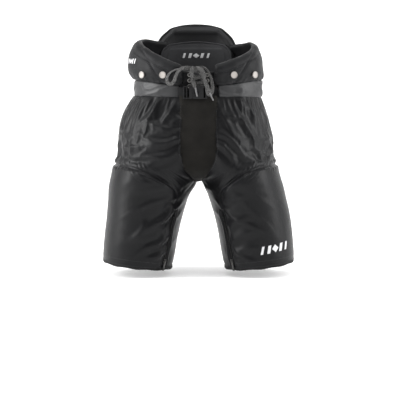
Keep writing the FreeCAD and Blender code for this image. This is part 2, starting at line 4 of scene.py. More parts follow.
import bmesh
import bpy
import numpy as np
from mathutils import Matrix, Vector, noise
from mathutils.bvhtree import BVHTree
from mathutils.kdtree import KDTree
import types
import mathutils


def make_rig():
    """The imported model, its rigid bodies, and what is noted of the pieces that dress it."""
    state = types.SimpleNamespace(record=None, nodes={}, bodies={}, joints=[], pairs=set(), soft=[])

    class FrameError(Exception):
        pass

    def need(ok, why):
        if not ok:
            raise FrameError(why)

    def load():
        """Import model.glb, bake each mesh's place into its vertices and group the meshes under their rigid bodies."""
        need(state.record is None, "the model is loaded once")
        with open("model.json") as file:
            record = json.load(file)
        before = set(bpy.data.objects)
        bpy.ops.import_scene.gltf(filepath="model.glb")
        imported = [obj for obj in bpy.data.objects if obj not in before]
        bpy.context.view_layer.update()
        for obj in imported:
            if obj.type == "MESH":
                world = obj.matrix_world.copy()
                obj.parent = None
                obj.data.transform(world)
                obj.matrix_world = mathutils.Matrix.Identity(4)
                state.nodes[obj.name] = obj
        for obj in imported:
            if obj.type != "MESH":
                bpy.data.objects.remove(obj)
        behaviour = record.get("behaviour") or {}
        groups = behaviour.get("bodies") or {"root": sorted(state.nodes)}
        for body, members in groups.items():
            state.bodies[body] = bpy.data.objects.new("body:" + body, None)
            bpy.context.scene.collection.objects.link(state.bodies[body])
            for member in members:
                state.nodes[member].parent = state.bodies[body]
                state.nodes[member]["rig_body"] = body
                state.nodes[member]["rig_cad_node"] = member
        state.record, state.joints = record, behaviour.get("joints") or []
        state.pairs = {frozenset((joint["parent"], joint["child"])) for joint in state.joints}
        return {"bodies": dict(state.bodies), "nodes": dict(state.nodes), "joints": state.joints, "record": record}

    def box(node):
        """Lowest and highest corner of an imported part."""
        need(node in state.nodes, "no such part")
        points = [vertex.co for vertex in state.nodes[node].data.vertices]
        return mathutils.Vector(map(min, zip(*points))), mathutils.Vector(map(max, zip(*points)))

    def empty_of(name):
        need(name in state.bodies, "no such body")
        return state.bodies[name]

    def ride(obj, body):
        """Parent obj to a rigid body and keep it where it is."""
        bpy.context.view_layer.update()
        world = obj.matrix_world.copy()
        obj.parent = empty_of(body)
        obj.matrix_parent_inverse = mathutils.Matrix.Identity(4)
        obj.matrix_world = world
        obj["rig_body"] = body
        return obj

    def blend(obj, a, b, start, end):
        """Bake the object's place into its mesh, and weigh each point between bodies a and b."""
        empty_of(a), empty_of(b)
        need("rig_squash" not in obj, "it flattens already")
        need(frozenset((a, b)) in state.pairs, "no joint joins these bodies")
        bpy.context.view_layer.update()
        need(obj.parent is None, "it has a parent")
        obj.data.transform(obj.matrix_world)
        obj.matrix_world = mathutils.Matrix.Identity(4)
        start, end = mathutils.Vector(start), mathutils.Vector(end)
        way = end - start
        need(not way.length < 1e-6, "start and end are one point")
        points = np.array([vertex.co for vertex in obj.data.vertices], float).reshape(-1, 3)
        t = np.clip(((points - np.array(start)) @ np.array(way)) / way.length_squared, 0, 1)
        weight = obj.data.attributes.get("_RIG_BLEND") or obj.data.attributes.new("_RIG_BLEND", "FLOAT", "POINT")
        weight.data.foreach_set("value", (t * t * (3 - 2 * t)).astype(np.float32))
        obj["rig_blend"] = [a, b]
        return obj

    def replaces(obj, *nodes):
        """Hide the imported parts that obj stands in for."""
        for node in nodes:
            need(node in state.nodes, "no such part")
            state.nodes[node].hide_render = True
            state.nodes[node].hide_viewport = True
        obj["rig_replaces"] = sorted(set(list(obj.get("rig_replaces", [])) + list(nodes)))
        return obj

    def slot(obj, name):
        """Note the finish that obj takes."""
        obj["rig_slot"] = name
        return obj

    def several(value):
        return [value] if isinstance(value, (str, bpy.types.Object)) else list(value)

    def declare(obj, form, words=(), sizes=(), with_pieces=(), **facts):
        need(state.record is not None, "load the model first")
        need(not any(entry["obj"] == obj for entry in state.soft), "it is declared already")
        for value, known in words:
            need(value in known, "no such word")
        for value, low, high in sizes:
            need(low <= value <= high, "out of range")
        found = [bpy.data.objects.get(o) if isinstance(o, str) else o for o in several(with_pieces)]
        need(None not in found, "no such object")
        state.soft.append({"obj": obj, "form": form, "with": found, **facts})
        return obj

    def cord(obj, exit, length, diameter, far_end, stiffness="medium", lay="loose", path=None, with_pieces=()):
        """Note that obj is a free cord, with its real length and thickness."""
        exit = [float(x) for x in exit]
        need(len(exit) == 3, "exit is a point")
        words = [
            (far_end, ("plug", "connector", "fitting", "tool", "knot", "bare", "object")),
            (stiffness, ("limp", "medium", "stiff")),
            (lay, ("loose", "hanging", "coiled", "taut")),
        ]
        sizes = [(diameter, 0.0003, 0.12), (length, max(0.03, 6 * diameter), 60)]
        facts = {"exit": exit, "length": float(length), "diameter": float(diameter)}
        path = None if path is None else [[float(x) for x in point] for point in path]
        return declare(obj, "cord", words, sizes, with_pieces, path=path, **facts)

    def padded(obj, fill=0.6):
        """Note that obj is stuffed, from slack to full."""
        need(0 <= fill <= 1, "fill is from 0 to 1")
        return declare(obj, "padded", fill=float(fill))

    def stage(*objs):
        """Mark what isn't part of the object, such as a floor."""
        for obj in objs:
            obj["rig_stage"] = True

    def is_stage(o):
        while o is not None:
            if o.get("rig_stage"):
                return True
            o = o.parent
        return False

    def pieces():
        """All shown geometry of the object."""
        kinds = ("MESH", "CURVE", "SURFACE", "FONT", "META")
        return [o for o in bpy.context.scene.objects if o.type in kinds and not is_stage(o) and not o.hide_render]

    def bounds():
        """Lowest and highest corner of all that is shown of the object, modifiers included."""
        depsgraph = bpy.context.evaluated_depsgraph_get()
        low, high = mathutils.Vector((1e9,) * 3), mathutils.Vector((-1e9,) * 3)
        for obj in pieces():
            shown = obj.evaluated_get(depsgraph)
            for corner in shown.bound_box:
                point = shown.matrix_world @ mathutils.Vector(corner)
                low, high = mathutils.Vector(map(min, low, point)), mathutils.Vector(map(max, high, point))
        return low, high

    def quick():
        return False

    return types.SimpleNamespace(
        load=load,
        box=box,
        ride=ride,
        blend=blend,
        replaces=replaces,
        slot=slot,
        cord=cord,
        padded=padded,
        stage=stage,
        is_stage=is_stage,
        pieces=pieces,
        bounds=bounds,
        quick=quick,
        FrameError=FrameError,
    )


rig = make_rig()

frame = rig.load()
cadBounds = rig.bounds()
scene = bpy.context.scene
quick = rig.quick()


def lowest(node):
    return Vector(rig.box(node)[0])


def highest(node):
    return Vector(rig.box(node)[1])


waistHalfWidth = highest("belt_tunnel_left")[0]
waistHalfDepth = highest("belt_tunnel_left")[1]
hemFoot = lowest("hem_binding_left")[2]
jointNamed = {j["name"]: j for j in frame["joints"]}
print("frame loaded")

# the camera stands a little above the belt, far off, with a long lens
cameraSetup = {"distance": 4.2, "elevation": 5.0, "azimuth": 0.0, "target": (0.004, 0.0, -0.2845),
               "fieldWidth": 1.024}


def makeCamera(setup):
    data = bpy.data.cameras.new("camera")
    data.sensor_width = 36.0
    data.lens = data.sensor_width * setup["distance"] / setup["fieldWidth"]
    data.clip_end = 50
    camera = bpy.data.objects.new("camera", data)
    scene.collection.objects.link(camera)
    rise, turn = math.radians(setup["elevation"]), math.radians(setup["azimuth"])
    away = Vector((math.sin(turn) * math.cos(rise), -math.cos(turn) * math.cos(rise), math.sin(rise)))
    camera.location = Vector(setup["target"]) + away * setup["distance"]
    camera.rotation_euler = (-away).to_track_quat("-Z", "Y").to_euler()
    scene.camera = camera


makeCamera(cameraSetup)


# a smooth curve through a short table, read at any place
def smoothTable(rows, at, column=1):
    xs = np.array([row[0] for row in rows], float)
    ys = np.array([row[column] for row in rows], float)
    if xs[0] > xs[-1]:
        xs, ys = xs[::-1], ys[::-1]
    slopes = np.gradient(ys, xs)
    at = np.clip(at, xs[0], xs[-1])
    i = np.clip(np.searchsorted(xs, at) - 1, 0, len(xs) - 2)
    step = xs[i + 1] - xs[i]
    s = (at - xs[i]) / step
    near = (1 + 2 * s) * (1 - s) ** 2 * ys[i] + s * (1 - s) ** 2 * step * slopes[i]
    far = s * s * (3 - 2 * s) * ys[i + 1] + s * s * (s - 1) * step * slopes[i + 1]
    return near + far


def smoothStep(low, high, at):
    t = np.clip((at - low) / (high - low), 0, 1)
    return t * t * (3 - 2 * t)


# elongated noise: across and along are in metres, already divided by the wavelengths wanted
def noiseField(across, along, seed):
    return np.array([noise.noise(Vector((a, b, seed))) for a, b in zip(across, along)])


def ridges(across, along, seed, sharp=1.6):
    value = noiseField(across, along, seed)
    crest = np.clip(1 - np.abs(value) * 2.4, 0, 1) ** sharp
    return crest - 0.35


# mesh tools: a flat grid from bmesh, moved onto a surface that is worked out from (u, v)
def gridPiece(name, columns, rows, place, mirrored=False, joined=False, closeEnds=False):
    bm = bmesh.new()
    bmesh.ops.create_grid(bm, x_segments=columns, y_segments=rows, size=0.5)
    flat = np.array([(v.co.x + 0.5, 0.5 - v.co.y) for v in bm.verts])
    layer = bm.loops.layers.uv.new("cloth")
    for face in bm.faces:
        for loop in face.loops:
            loop[layer].uv = (loop.vert.co.x + 0.5, 0.5 - loop.vert.co.y)
    placed = place(flat[:, 0], flat[:, 1])
    if mirrored:
        placed[:, 0] *= -1
        bmesh.ops.reverse_faces(bm, faces=bm.faces[:])
    for vert, co in zip(bm.verts, placed):
        vert.co = co
    if joined:
        bmesh.ops.remove_doubles(bm, verts=bm.verts[:], dist=1e-5)
    if closeEnds:
        rims = [e for e in bm.edges if e.is_boundary]
        bmesh.ops.holes_fill(bm, edges=rims, sides=0)
        bmesh.ops.recalc_face_normals(bm, faces=bm.faces[:])
    return finishMesh(name, bm)


def finishMesh(name, bm, smooth=True):
    mesh = bpy.data.meshes.new(name)
    bm.to_mesh(mesh)
    bm.free()
    for face in mesh.polygons:
        face.use_smooth = smooth
    piece = bpy.data.objects.new(name, mesh)
    scene.collection.objects.link(piece)
    return piece


def pointsOf(piece):
    co = np.zeros(len(piece.data.vertices) * 3)
    piece.data.vertices.foreach_get("co", co)
    return co.reshape(-1, 3)


def setPoints(piece, co):
    piece.data.vertices.foreach_set("co", co.astype(np.float32).ravel())
    piece.data.update()


def normalsOf(piece):
    normals = np.zeros(len(piece.data.vertices) * 3)
    piece.data.vertices.foreach_get("normal", normals)
    return normals.reshape(-1, 3)


# the modifiers of a piece become its mesh
def bake(piece):
    evaluated = piece.evaluated_get(bpy.context.evaluated_depsgraph_get())
    mesh = bpy.data.meshes.new_from_object(evaluated, preserve_all_data_layers=True,
                                           depsgraph=bpy.context.evaluated_depsgraph_get())
    piece.modifiers.clear()
    old = piece.data
    piece.data = mesh
    mesh.name = piece.name
    if old.users == 0 and isinstance(old, bpy.types.Mesh):
        bpy.data.meshes.remove(old)
    for face in mesh.polygons:
        face.use_smooth = True


def subdivide(piece, levels=1):
    soft = piece.modifiers.new("soft", "SUBSURF")
    soft.levels = soft.render_levels = levels
    bake(piece)


# cloth simulation between held seams: the cloth is cut larger than the space, so it gathers
def settleCloth(piece, held, roomy, setup):
    if quick:
        return
    before = pointsOf(piece)
    normals = normalsOf(piece)
    pin = piece.vertex_groups.new(name="held")
    slack = piece.vertex_groups.new(name="roomy")
    for i, (h, r) in enumerate(zip(held, roomy)):
        if h > 0.001:
            pin.add([i], float(h), "REPLACE")
        slack.add([i], float(1 - r), "REPLACE")
    cloth = piece.modifiers.new("cloth", "CLOTH")
    settings = cloth.settings
    settings.quality = setup.get("quality", 5)
    settings.mass = setup.get("mass", 0.12)
    settings.tension_stiffness = settings.compression_stiffness = setup.get("stiffness", 12)
    settings.shear_stiffness = setup.get("shear", 4)
    settings.bending_stiffness = setup.get("bending", 0.5)
    settings.vertex_group_mass = "held"
    settings.vertex_group_shrink = "roomy"
    settings.shrink_min = -setup["extra"]
    settings.shrink_max = 0.0
    settings.use_pressure = True
    settings.uniform_pressure_force = setup.get("pressure", 0.6)
    settings.effector_weights.gravity = setup.get("gravity", 0.5)
    settings.air_damping = 2.0
    cloth.collision_settings.use_collision = False
    cloth.point_cache.frame_start, cloth.point_cache.frame_end = 1, setup["frames"]
    for step in range(1, setup["frames"] + 1):
        scene.frame_set(step)
    evaluated = piece.evaluated_get(bpy.context.evaluated_depsgraph_get())
    after = np.zeros(len(before) * 3)
    evaluated.data.vertices.foreach_get("co", after)
    moved = after.reshape(-1, 3) - before
    piece.modifiers.remove(cloth)
    piece.vertex_groups.clear()
    scene.frame_set(1)
    out = (moved * normals).sum(1)
    capped = np.clip(out, -setup["sink"], setup["swell"])
    moved += normals * (capped - out)[:, None]
    length = np.linalg.norm(moved, axis=1, keepdims=True)
    limit = setup["swell"] * 1.5
    moved *= np.minimum(1, limit / np.maximum(length, 1e-9))
    setPoints(piece, before + moved)
    relax(piece, setup.get("relax", 1))


def relax(piece, times, factor=0.5):
    bm = bmesh.new()
    bm.from_mesh(piece.data)
    for _ in range(times):
        inside = [v for v in bm.verts if not v.is_boundary]
        bmesh.ops.smooth_vert(bm, verts=inside, factor=factor, use_axis_x=True, use_axis_y=True,
                              use_axis_z=True)
    bm.to_mesh(piece.data)
    bm.free()


# shader tools
def newMaterial(name, **values):
    material = bpy.data.materials.new(name)
    material.use_nodes = True
    shader = material.node_tree.nodes["Principled BSDF"]
    for socket, value in values.items():
        shader.inputs[socket.replace("_", " ")].default_value = value
    return material, shader


def node(tree, kind, **settings):
    made = tree.nodes.new(kind)
    for key, value in settings.items():
        setattr(made, key, value)
    return made


def makeClothGroup():
    group = bpy.data.node_groups.new("clothLook", "ShaderNodeTree")
    face = group.interface
    for name, kind, value in (("Vector", "NodeSocketVector", None),
                              ("Base", "NodeSocketColor", (0.02, 0.02, 0.02, 1)),
                              ("Lift", "NodeSocketFloat", 0.25), ("Roughness", "NodeSocketFloat", 0.5),
                              ("Thread", "NodeSocketFloat", 1500.0), ("Weave", "NodeSocketFloat", 0.15),
                              ("Crinkle", "NodeSocketFloat", 0.1),
                              ("Crinkle Scale", "NodeSocketFloat", 60.0)):
        socket = face.new_socket(name=name, in_out="INPUT", socket_type=kind)
        if value is not None:
            socket.default_value = value
    for name, kind in (("Color", "NodeSocketColor"), ("Roughness", "NodeSocketFloat"),
                       ("Normal", "NodeSocketVector")):
        face.new_socket(name=name, in_out="OUTPUT", socket_type=kind)
    given = node(group, "NodeGroupInput")
    out = node(group, "NodeGroupOutput")
    link = group.links.new
    warp = node(group, "ShaderNodeTexWave", wave_type="BANDS", bands_direction="Z")
    weft = node(group, "ShaderNodeTexWave", wave_type="BANDS", bands_direction="X")
    for wave in (warp, weft):
        link(given.outputs["Vector"], wave.inputs["Vector"])
        link(given.outputs["Thread"], wave.inputs["Scale"])
        wave.inputs["Distortion"].default_value = 0.6
        wave.inputs["Detail"].default_value = 1.0
    threads = node(group, "ShaderNodeMath", operation="MULTIPLY")
    link(warp.outputs["Fac"], threads.inputs[0])
    link(weft.outputs["Fac"], threads.inputs[1])
    crinkle = node(group, "ShaderNodeTexNoise")
    crinkle.inputs["Detail"].default_value = 5.0
    link(given.outputs["Vector"], crinkle.inputs["Vector"])
    link(given.outputs["Crinkle Scale"], crinkle.inputs["Scale"])
    shade = node(group, "ShaderNodeTexNoise")
    shade.inputs["Scale"].default_value = 14.0
    shade.inputs["Detail"].default_value = 4.0
    link(given.outputs["Vector"], shade.inputs["Vector"])
    lifted = node(group, "ShaderNodeMix", data_type="RGBA", blend_type="MULTIPLY")
    tone = node(group, "ShaderNodeMapRange")
    tone.inputs["From Min"].default_value = 0.3
    tone.inputs["From Max"].default_value = 0.7
    tone.inputs["To Min"].default_value = 0.8
    tone.inputs["To Max"].default_value = 1.35
    link(shade.outputs["Fac"], tone.inputs["Value"])
    link(given.outputs["Lift"], lifted.inputs["Factor"])
    link(given.outputs["Base"], lifted.inputs["A"])
    link(tone.outputs["Result"], lifted.inputs["B"])
    link(lifted.outputs["Result"], out.inputs["Color"])
    rough = node(group, "ShaderNodeMath", operation="MULTIPLY_ADD")
    link(crinkle.outputs["Fac"], rough.inputs[0])
    rough.inputs[1].default_value = 0.12
    link(given.outputs["Roughness"], rough.inputs[2])
    link(rough.outputs["Value"], out.inputs["Roughness"])
    coarse = node(group, "ShaderNodeBump")
    coarse.inputs["Distance"].default_value = 0.004
    link(given.outputs["Crinkle"], coarse.inputs["Strength"])
    link(crinkle.outputs["Fac"], coarse.inputs["Height"])
    fine = node(group, "ShaderNodeBump")
    fine.inputs["Distance"].default_value = 0.0004
    link(given.outputs["Weave"], fine.inputs["Strength"])
    link(threads.outputs["Value"], fine.inputs["Height"])
    link(coarse.outputs["Normal"], fine.inputs["Normal"])
    link(fine.outputs["Normal"], out.inputs["Normal"])
    return group


clothLook = makeClothGroup()


def clothMaterial(name, base, roughness, sheen=0.0, specular=0.5, **look):
    material, shader = newMaterial(name)
    shader.inputs["Sheen Weight"].default_value = sheen
    shader.inputs["Sheen Roughness"].default_value = 0.5
    shader.inputs["Specular IOR Level"].default_value = specular
    tree = material.node_tree
    place = node(tree, "ShaderNodeTexCoord")
    cloth = node(tree, "ShaderNodeGroup", node_tree=clothLook)
    cloth.inputs["Base"].default_value = (*base, 1)
    cloth.inputs["Roughness"].default_value = roughness
    for socket, value in look.items():
        cloth.inputs[socket.replace("_", " ")].default_value = value
    tree.links.new(place.outputs["Object"], cloth.inputs["Vector"])
    tree.links.new(cloth.outputs["Color"], shader.inputs["Base Color"])
    tree.links.new(cloth.outputs["Roughness"], shader.inputs["Roughness"])
    tree.links.new(cloth.outputs["Normal"], shader.inputs["Normal"])
    return material


shellNylon = clothMaterial("shell nylon", (0.0045, 0.0046, 0.0052), 0.33, specular=0.15, Weave=0.10,
                           Crinkle=0.16,
                           Crinkle_Scale=45.0, Lift=0.5)
satinNylon = clothMaterial("belt satin", (0.0205, 0.0208, 0.0220), 0.37, specular=0.34, Weave=0.12,
                           Crinkle=0.25,
                           Crinkle_Scale=55.0, Lift=0.6)
satinDark = clothMaterial("fly satin", (0.0048, 0.0049, 0.0054), 0.38, specular=0.14, Weave=0.12, Crinkle=0.3,
                           Crinkle_Scale=70.0, Lift=0.6)
padNylon = clothMaterial("pad nylon", (0.0082, 0.0084, 0.0092), 0.44, specular=0.14, Weave=0.2, Crinkle=0.10,
                         Lift=0.5)
# a lighter copy of the pad nylon for the back pad: its raised base is painted light, lifting the back pad's inner face
# out of the shade inside the pants
backNylonWithPaintedLight = clothMaterial("back pad nylon with painted light", (0.0125, 0.0127, 0.0135), 0.42, specular=0.22, Weave=0.2,
                          Crinkle=0.10,
                          Lift=0.5)
linerKnit = clothMaterial("liner knit", (0.0100, 0.0100, 0.0106), 0.75, sheen=0.02, specular=0.10, Weave=0.5,
                          Crinkle=0.1,
                          Thread=700.0, Lift=0.6)
# the lumbar panel knit is partly its own lighter knit and partly painted light: its base is raised to lift the lumbar
# panel and the fly tongue out of the shade inside the pants
panelKnitWithPaintedLight = clothMaterial("lumbar panel knit with painted light", (0.036, 0.0365, 0.0385), 0.60, sheen=0.02, specular=0.12,
                          Weave=0.4,
                          Crinkle=0.12, Crinkle_Scale=120.0, Thread=900.0, Lift=0.6)
bindingTape = clothMaterial("binding tape", (0.0050, 0.0050, 0.0055), 0.5, specular=0.16, Weave=0.6,
                            Thread=800.0)
pipingCord = clothMaterial("piping", (0.030, 0.0305, 0.033), 0.4, specular=0.25, Weave=0.5, Thread=900.0)
webbingWeave = clothMaterial("belt webbing", (0.006, 0.006, 0.0065), 0.55, specular=0.15, Weave=1.0,
                             Thread=420.0)
# the stitch thread's base is partly the thread's own colour and partly a painted highlight, raised to give the light
# line along the sewn seams
stitchThreadWithPaintedHighlight = clothMaterial("stitch thread with painted highlight", (0.045, 0.0455, 0.048), 0.5, specular=0.25, Weave=0.3,
                             Thread=2500.0)
print("cloth materials ready")

# one side of the pants: rows of height, inner edge, outer edge, crown of the leg, front depth, back depth
sideOutline = (
    (-0.016, -0.160, 0.160, 0.000, 0.116, 0.118),
    (-0.056, -0.150, 0.183, 0.020, 0.129, 0.136),
    (-0.107, -0.120, 0.193, 0.040, 0.137, 0.148),
    (-0.160, -0.060, 0.200, 0.070, 0.138, 0.150),
    (-0.218, 0.000, 0.210, 0.105, 0.132, 0.144),
    (-0.261, 0.020, 0.222, 0.120, 0.125, 0.134),
    (-0.348, 0.047, 0.236, 0.140, 0.117, 0.122),
    (-0.440, 0.064, 0.245, 0.156, 0.108, 0.113),
    (-0.490, 0.075, 0.249, 0.164, 0.104, 0.109),
)
# half-width of the centre strip at each height, in front and behind; it runs out under the crotch
gussetEdge = {
    "front": ((-0.016, 0.039), (-0.107, 0.042), (-0.150, 0.044), (-0.182, 0.038), (-0.204, 0.025),
              (-0.222, 0.009),
              (-0.234, 0.002), (-0.262, -0.040)),
    "back": ((-0.016, 0.033), (-0.107, 0.039), (-0.150, 0.041), (-0.182, 0.037), (-0.204, 0.025),
             (-0.222, 0.010),
             (-0.234, 0.002), (-0.262, -0.040)),
}
centreEdge = {side: ((-0.016, 0.0), (-0.218, 0.0), (-0.240, 0.0), (-0.262, -0.040))
              for side in ("front", "back")}
garment = {
    "beltSeam": -0.019, "seamHigh": -0.191, "seamDrop": 0.075, "seamFrom": 0.200, "seamReach": 0.160,
    "hemAtCrown": -0.4435, "hemRise": math.tan(math.radians(6)), "crownX": 0.161,
    "columns": 168, "hipRows": 46, "legRows": 58, "seamShare": 0.43,
    "lean": 0.008,
}


def heightOfRow(v, x, g=garment):
    drop = np.clip((g["seamFrom"] - x) / g["seamReach"], 0, 1) ** 2.2
    seam = g["seamHigh"] - g["seamDrop"] * drop
    hem = g["hemAtCrown"] + (x - g["crownX"]) * g["hemRise"]
    share = g["seamShare"]
    upper = g["beltSeam"] + (seam - g["beltSeam"]) * v / share
    lower = seam + (hem - seam) * (v - share) / (1 - share)
    return np.where(v < share, upper, lower)


def edgeAngle(z, edge, station):
    inner, outer, crown = station[0], station[1], station[2]
    x = smoothTable(edge, z)
    reach = np.where(x > crown, outer - crown, crown - inner)
    return np.arccos(np.clip((x - crown) / reach, -1, 1))


# a point on one side of the pants: u runs from the front strip round the outer side to the back strip,
# v from the belt down to the hem, depth is how far under the surface
def sideSurface(u, v, depth=0.0, edges=gussetEdge):
    z = heightOfRow(v, np.full_like(u, 0.12))
    for _ in range(14):
        station = [smoothTable(sideOutline, z, k) for k in range(1, 6)]
        inner, outer, crown, front, back = station
        first = -edgeAngle(z, edges["front"], station)
        last = edgeAngle(z, edges["back"], station)
        t = first + (last - first) * u
        across = np.where(np.cos(t) > 0, outer - crown, crown - inner) - depth
        along = np.where(np.sin(t) < 0, front, back) - depth
        x = crown + across * np.cos(t)
        z = z + 0.6 * (heightOfRow(v, x) - z)
    return np.stack([x, along * np.sin(t), z], axis=1)


def leanOf(co, side):
    amount = garment["lean"] * smoothStep(-0.34, -0.20, co[:, 2]) * smoothStep(0.02, -0.06, co[:, 2])
    return amount * side * smoothStep(0.06, 0.16, np.abs(co[:, 0]))


shellDetail = {
    "left": {"seed": 3.7}, "right": {"seed": 9.2},
    "gather": 0.0040, "radial": 0.0066, "outer": 0.0036, "inner": 0.0046, "seamTuck": 0.0026,
    "padPuff": 0.0052,
    "ruche": 0.0024, "blouse": 0.0012, "innerSeam": 2.36, "corner": 0.032,
}
shellCloth = {"extra": 0.026, "frames": 18, "pressure": 1.5, "bending": 0.25, "stiffness": 15, "shear": 5,
              "gravity": 0.3, "sink": 0.005, "swell": 0.010, "relax": 1, "quality": 5, "mass": 0.15}
# single folds on the front, seen from the front: from (x, z) to (x, z), half-width, height
frontFolds = {
    "right": ((-0.046, -0.122, -0.142, -0.112, 0.0085, 0.0060),
              (-0.050, -0.098, -0.128, -0.070, 0.0070, 0.0045),
              (-0.042, -0.144, -0.128, -0.166, 0.0080, 0.0052),
              (-0.042, -0.170, -0.104, -0.205, 0.0070, 0.0045),
              (-0.095, -0.024, -0.152, -0.088, 0.0070, 0.0050),
              (-0.060, -0.030, -0.092, -0.080, 0.0060, 0.0040),
              (-0.186, -0.090, -0.188, -0.184, 0.0055, 0.0045),
              (-0.166, -0.110, -0.170, -0.186, 0.0055, 0.0042),
              (-0.062, -0.292, -0.116, -0.338, 0.0075, 0.0060),
              (-0.070, -0.352, -0.132, -0.398, 0.0075, 0.0062),
              (-0.074, -0.392, -0.128, -0.424, 0.0065, 0.0060),
              (-0.130, -0.330, -0.170, -0.380, 0.0100, 0.0040)),
    "left": ((0.088, -0.024, 0.160, -0.082, 0.0080, 0.0058), (0.046, -0.064, 0.112, -0.074, 0.0070, 0.0048),
             (0.046, -0.102, 0.122, -0.168, 0.0080, 0.0060), (0.046, -0.128, 0.096, -0.196, 0.0070, 0.0055),
             (0.044, -0.160, 0.072, -0.220, 0.0060, 0.0045), (0.104, -0.060, 0.150, -0.150, 0.0075, 0.0040),
             (0.150, -0.140, 0.170, -0.184, 0.0060, 0.0048), (0.176, -0.112, 0.186, -0.184, 0.0055, 0.0045),
             (0.064, -0.286, 0.116, -0.262, 0.0080, 0.0042), (0.080, -0.344, 0.128, -0.316, 0.0080, 0.0034),
             (0.084, -0.384, 0.148, -0.352, 0.0090, 0.0036), (0.096, -0.412, 0.156, -0.396, 0.0080, 0.0030)),
}


def foldStrokes(co, strokes):
    lift = np.zeros(len(co))
    for x0, z0, x1, z1, width, height in strokes:
        dx, dz = x1 - x0, z1 - z0
        long2 = dx * dx + dz * dz
        t = ((co[:, 0] - x0) * dx + (co[:, 2] - z0) * dz) / long2
        bow = 0.10 * math.sqrt(long2) * np.sin(np.clip(t, 0, 1) * math.pi)
        d = ((co[:, 0] - x0) * dz - (co[:, 2] - z0) * dx) / math.sqrt(long2) + bow
        fade = smoothStep(-0.12, 0.18, t) * smoothStep(1.15, 0.60, t)
        crest = 1.15 * np.exp(-(np.abs(d) / width) ** 1.25) - 0.5 * np.exp(-((d - 1.7 * width) / width) ** 2)
        lift += height * crest * fade
    return lift * smoothStep(0.0, -0.04, co[:, 1])


# turns on the leg's own axis, and how far the point is inside the front, outer and back panel of the leg
def panelDepth(co):
    station = [smoothTable(sideOutline, co[:, 2], k) for k in range(1, 6)]
    inner, outer, crown, front, back = station
    x = np.abs(co[:, 0])
    reach = np.where(x > crown, outer - crown, crown - inner)
    t = np.abs(np.arctan2(co[:, 1] / np.where(co[:, 1] < 0, front, back), (x - crown) / reach))
    g = garment
    drop = np.clip((g["seamFrom"] - x) / g["seamReach"], 0, 1) ** 2.2
    below = g["seamHigh"] - g["seamDrop"] * drop - co[:, 2]
    beyond = (shellDetail["innerSeam"] - t) * 0.098
    r = shellDetail["corner"]
    rounding = r - np.hypot(np.maximum(r - below, 0), np.maximum(r - beyond, 0))
    return rounding + np.maximum(np.minimum(below, beyond) - r, 0), below, beyond


def shellFolds(co, uv, seed):
    u, v = uv[:, 0], uv[:, 1]
    z = co[:, 2]
    d = shellDetail
    ring = u * 0.62                                   # metres round the garment, roughly
    down = (garment["beltSeam"] - z)
    inside, below, _ = panelDepth(co)
    hips = smoothStep(0.012, -0.012, inside)
    # gathers under the belt, fanning outwards
    fan = ring + down * 0.25 * np.sin(u * 9 + seed)
    gather = ridges(fan / 0.024, down / 0.10, seed, 1.3) * np.exp(-down / 0.042) * smoothStep(0, 0.012, down)
    lift = d["gather"] * gather * hips
    # folds that fan out from the centre strip's seams, front and back
    angle = np.arctan2(z + 0.105, np.abs(co[:, 0]) + 0.035)
    away = np.hypot(z + 0.105, np.abs(co[:, 0]) + 0.035)
    fromEdge = np.minimum(u, 1 - u) * 0.62
    spread = ridges(angle * 0.17 / 0.030, away / 0.15, seed + 4, 1.5)
    fade = np.exp(-fromEdge / 0.100) * smoothStep(-0.035, -0.075, z)
    lift += d["radial"] * spread * fade * smoothStep(0.02, -0.02, below)
    # upright folds on the outer side, above the mid-leg seam
    side = np.exp(-((u - 0.5) / 0.17) ** 2)
    upright = ridges(ring / 0.026, down / 0.15, seed + 8, 1.6)
    lift += d["outer"] * upright * side * hips * smoothStep(0.03, 0.09, down)
    # slanting wrinkles beside the inner leg, and broad unevenness of the stuffed leg
    legs = smoothStep(0.0, 0.03, below) * smoothStep(1.0, 0.95, v)
    beside = np.exp(-((fromEdge - 0.11) / 0.075) ** 2)
    slanted = ridges((z * 0.85 + fromEdge * 0.55) / 0.040, (fromEdge - z * 0.3) / 0.13, seed + 12, 1.8)
    lift += d["inner"] * slanted * beside * legs
    lift += 0.0020 * noiseField(ring / 0.10, z / 0.12, seed + 20) * legs
    return lift


# the leg's padding starts at the mid-leg seam, and the fabric is gathered into that seam
def seamProfile(co, uv, seed):
    inside, below, beyond = panelDepth(co)
    d = shellDetail
    level = smoothStep(0.05, 0.0, np.abs(below) - np.abs(beyond) * 0.2)
    across = smoothStep(0.0, 0.05, beyond)
    ruche = noiseField(uv[:, 0] * 0.62 / 0.0075, below / 0.016, seed + 30)
    strength = 0.35 + 0.65 * across
    tuck = -(d["seamTuck"] + d["ruche"] * ruche) * np.exp(-(inside / 0.0038) ** 2) * strength
    pucker = 1.1 * d["ruche"] * ruche * np.exp(-(np.abs(inside) / 0.012) ** 2) * strength
    blouse = d["blouse"] * np.exp(-((inside + 0.012) / 0.009) ** 2) * across * level
    rise = smoothStep(0.0, 0.024, inside) * (1 - across) + smoothStep(-0.002, 0.011, inside) * across
    puff = d["padPuff"] * rise * smoothStep(0.30, 0.20, below) * (0.45 + 0.55 * level)
    hemPull = -0.0012 * smoothStep(0.955, 0.995, uv[:, 1])
    return tuck + pucker + blouse + puff + hemPull


zipLine = {"halfTape": 0.0062, "lip": 0.0105, "tapeDepth": 0.0066}


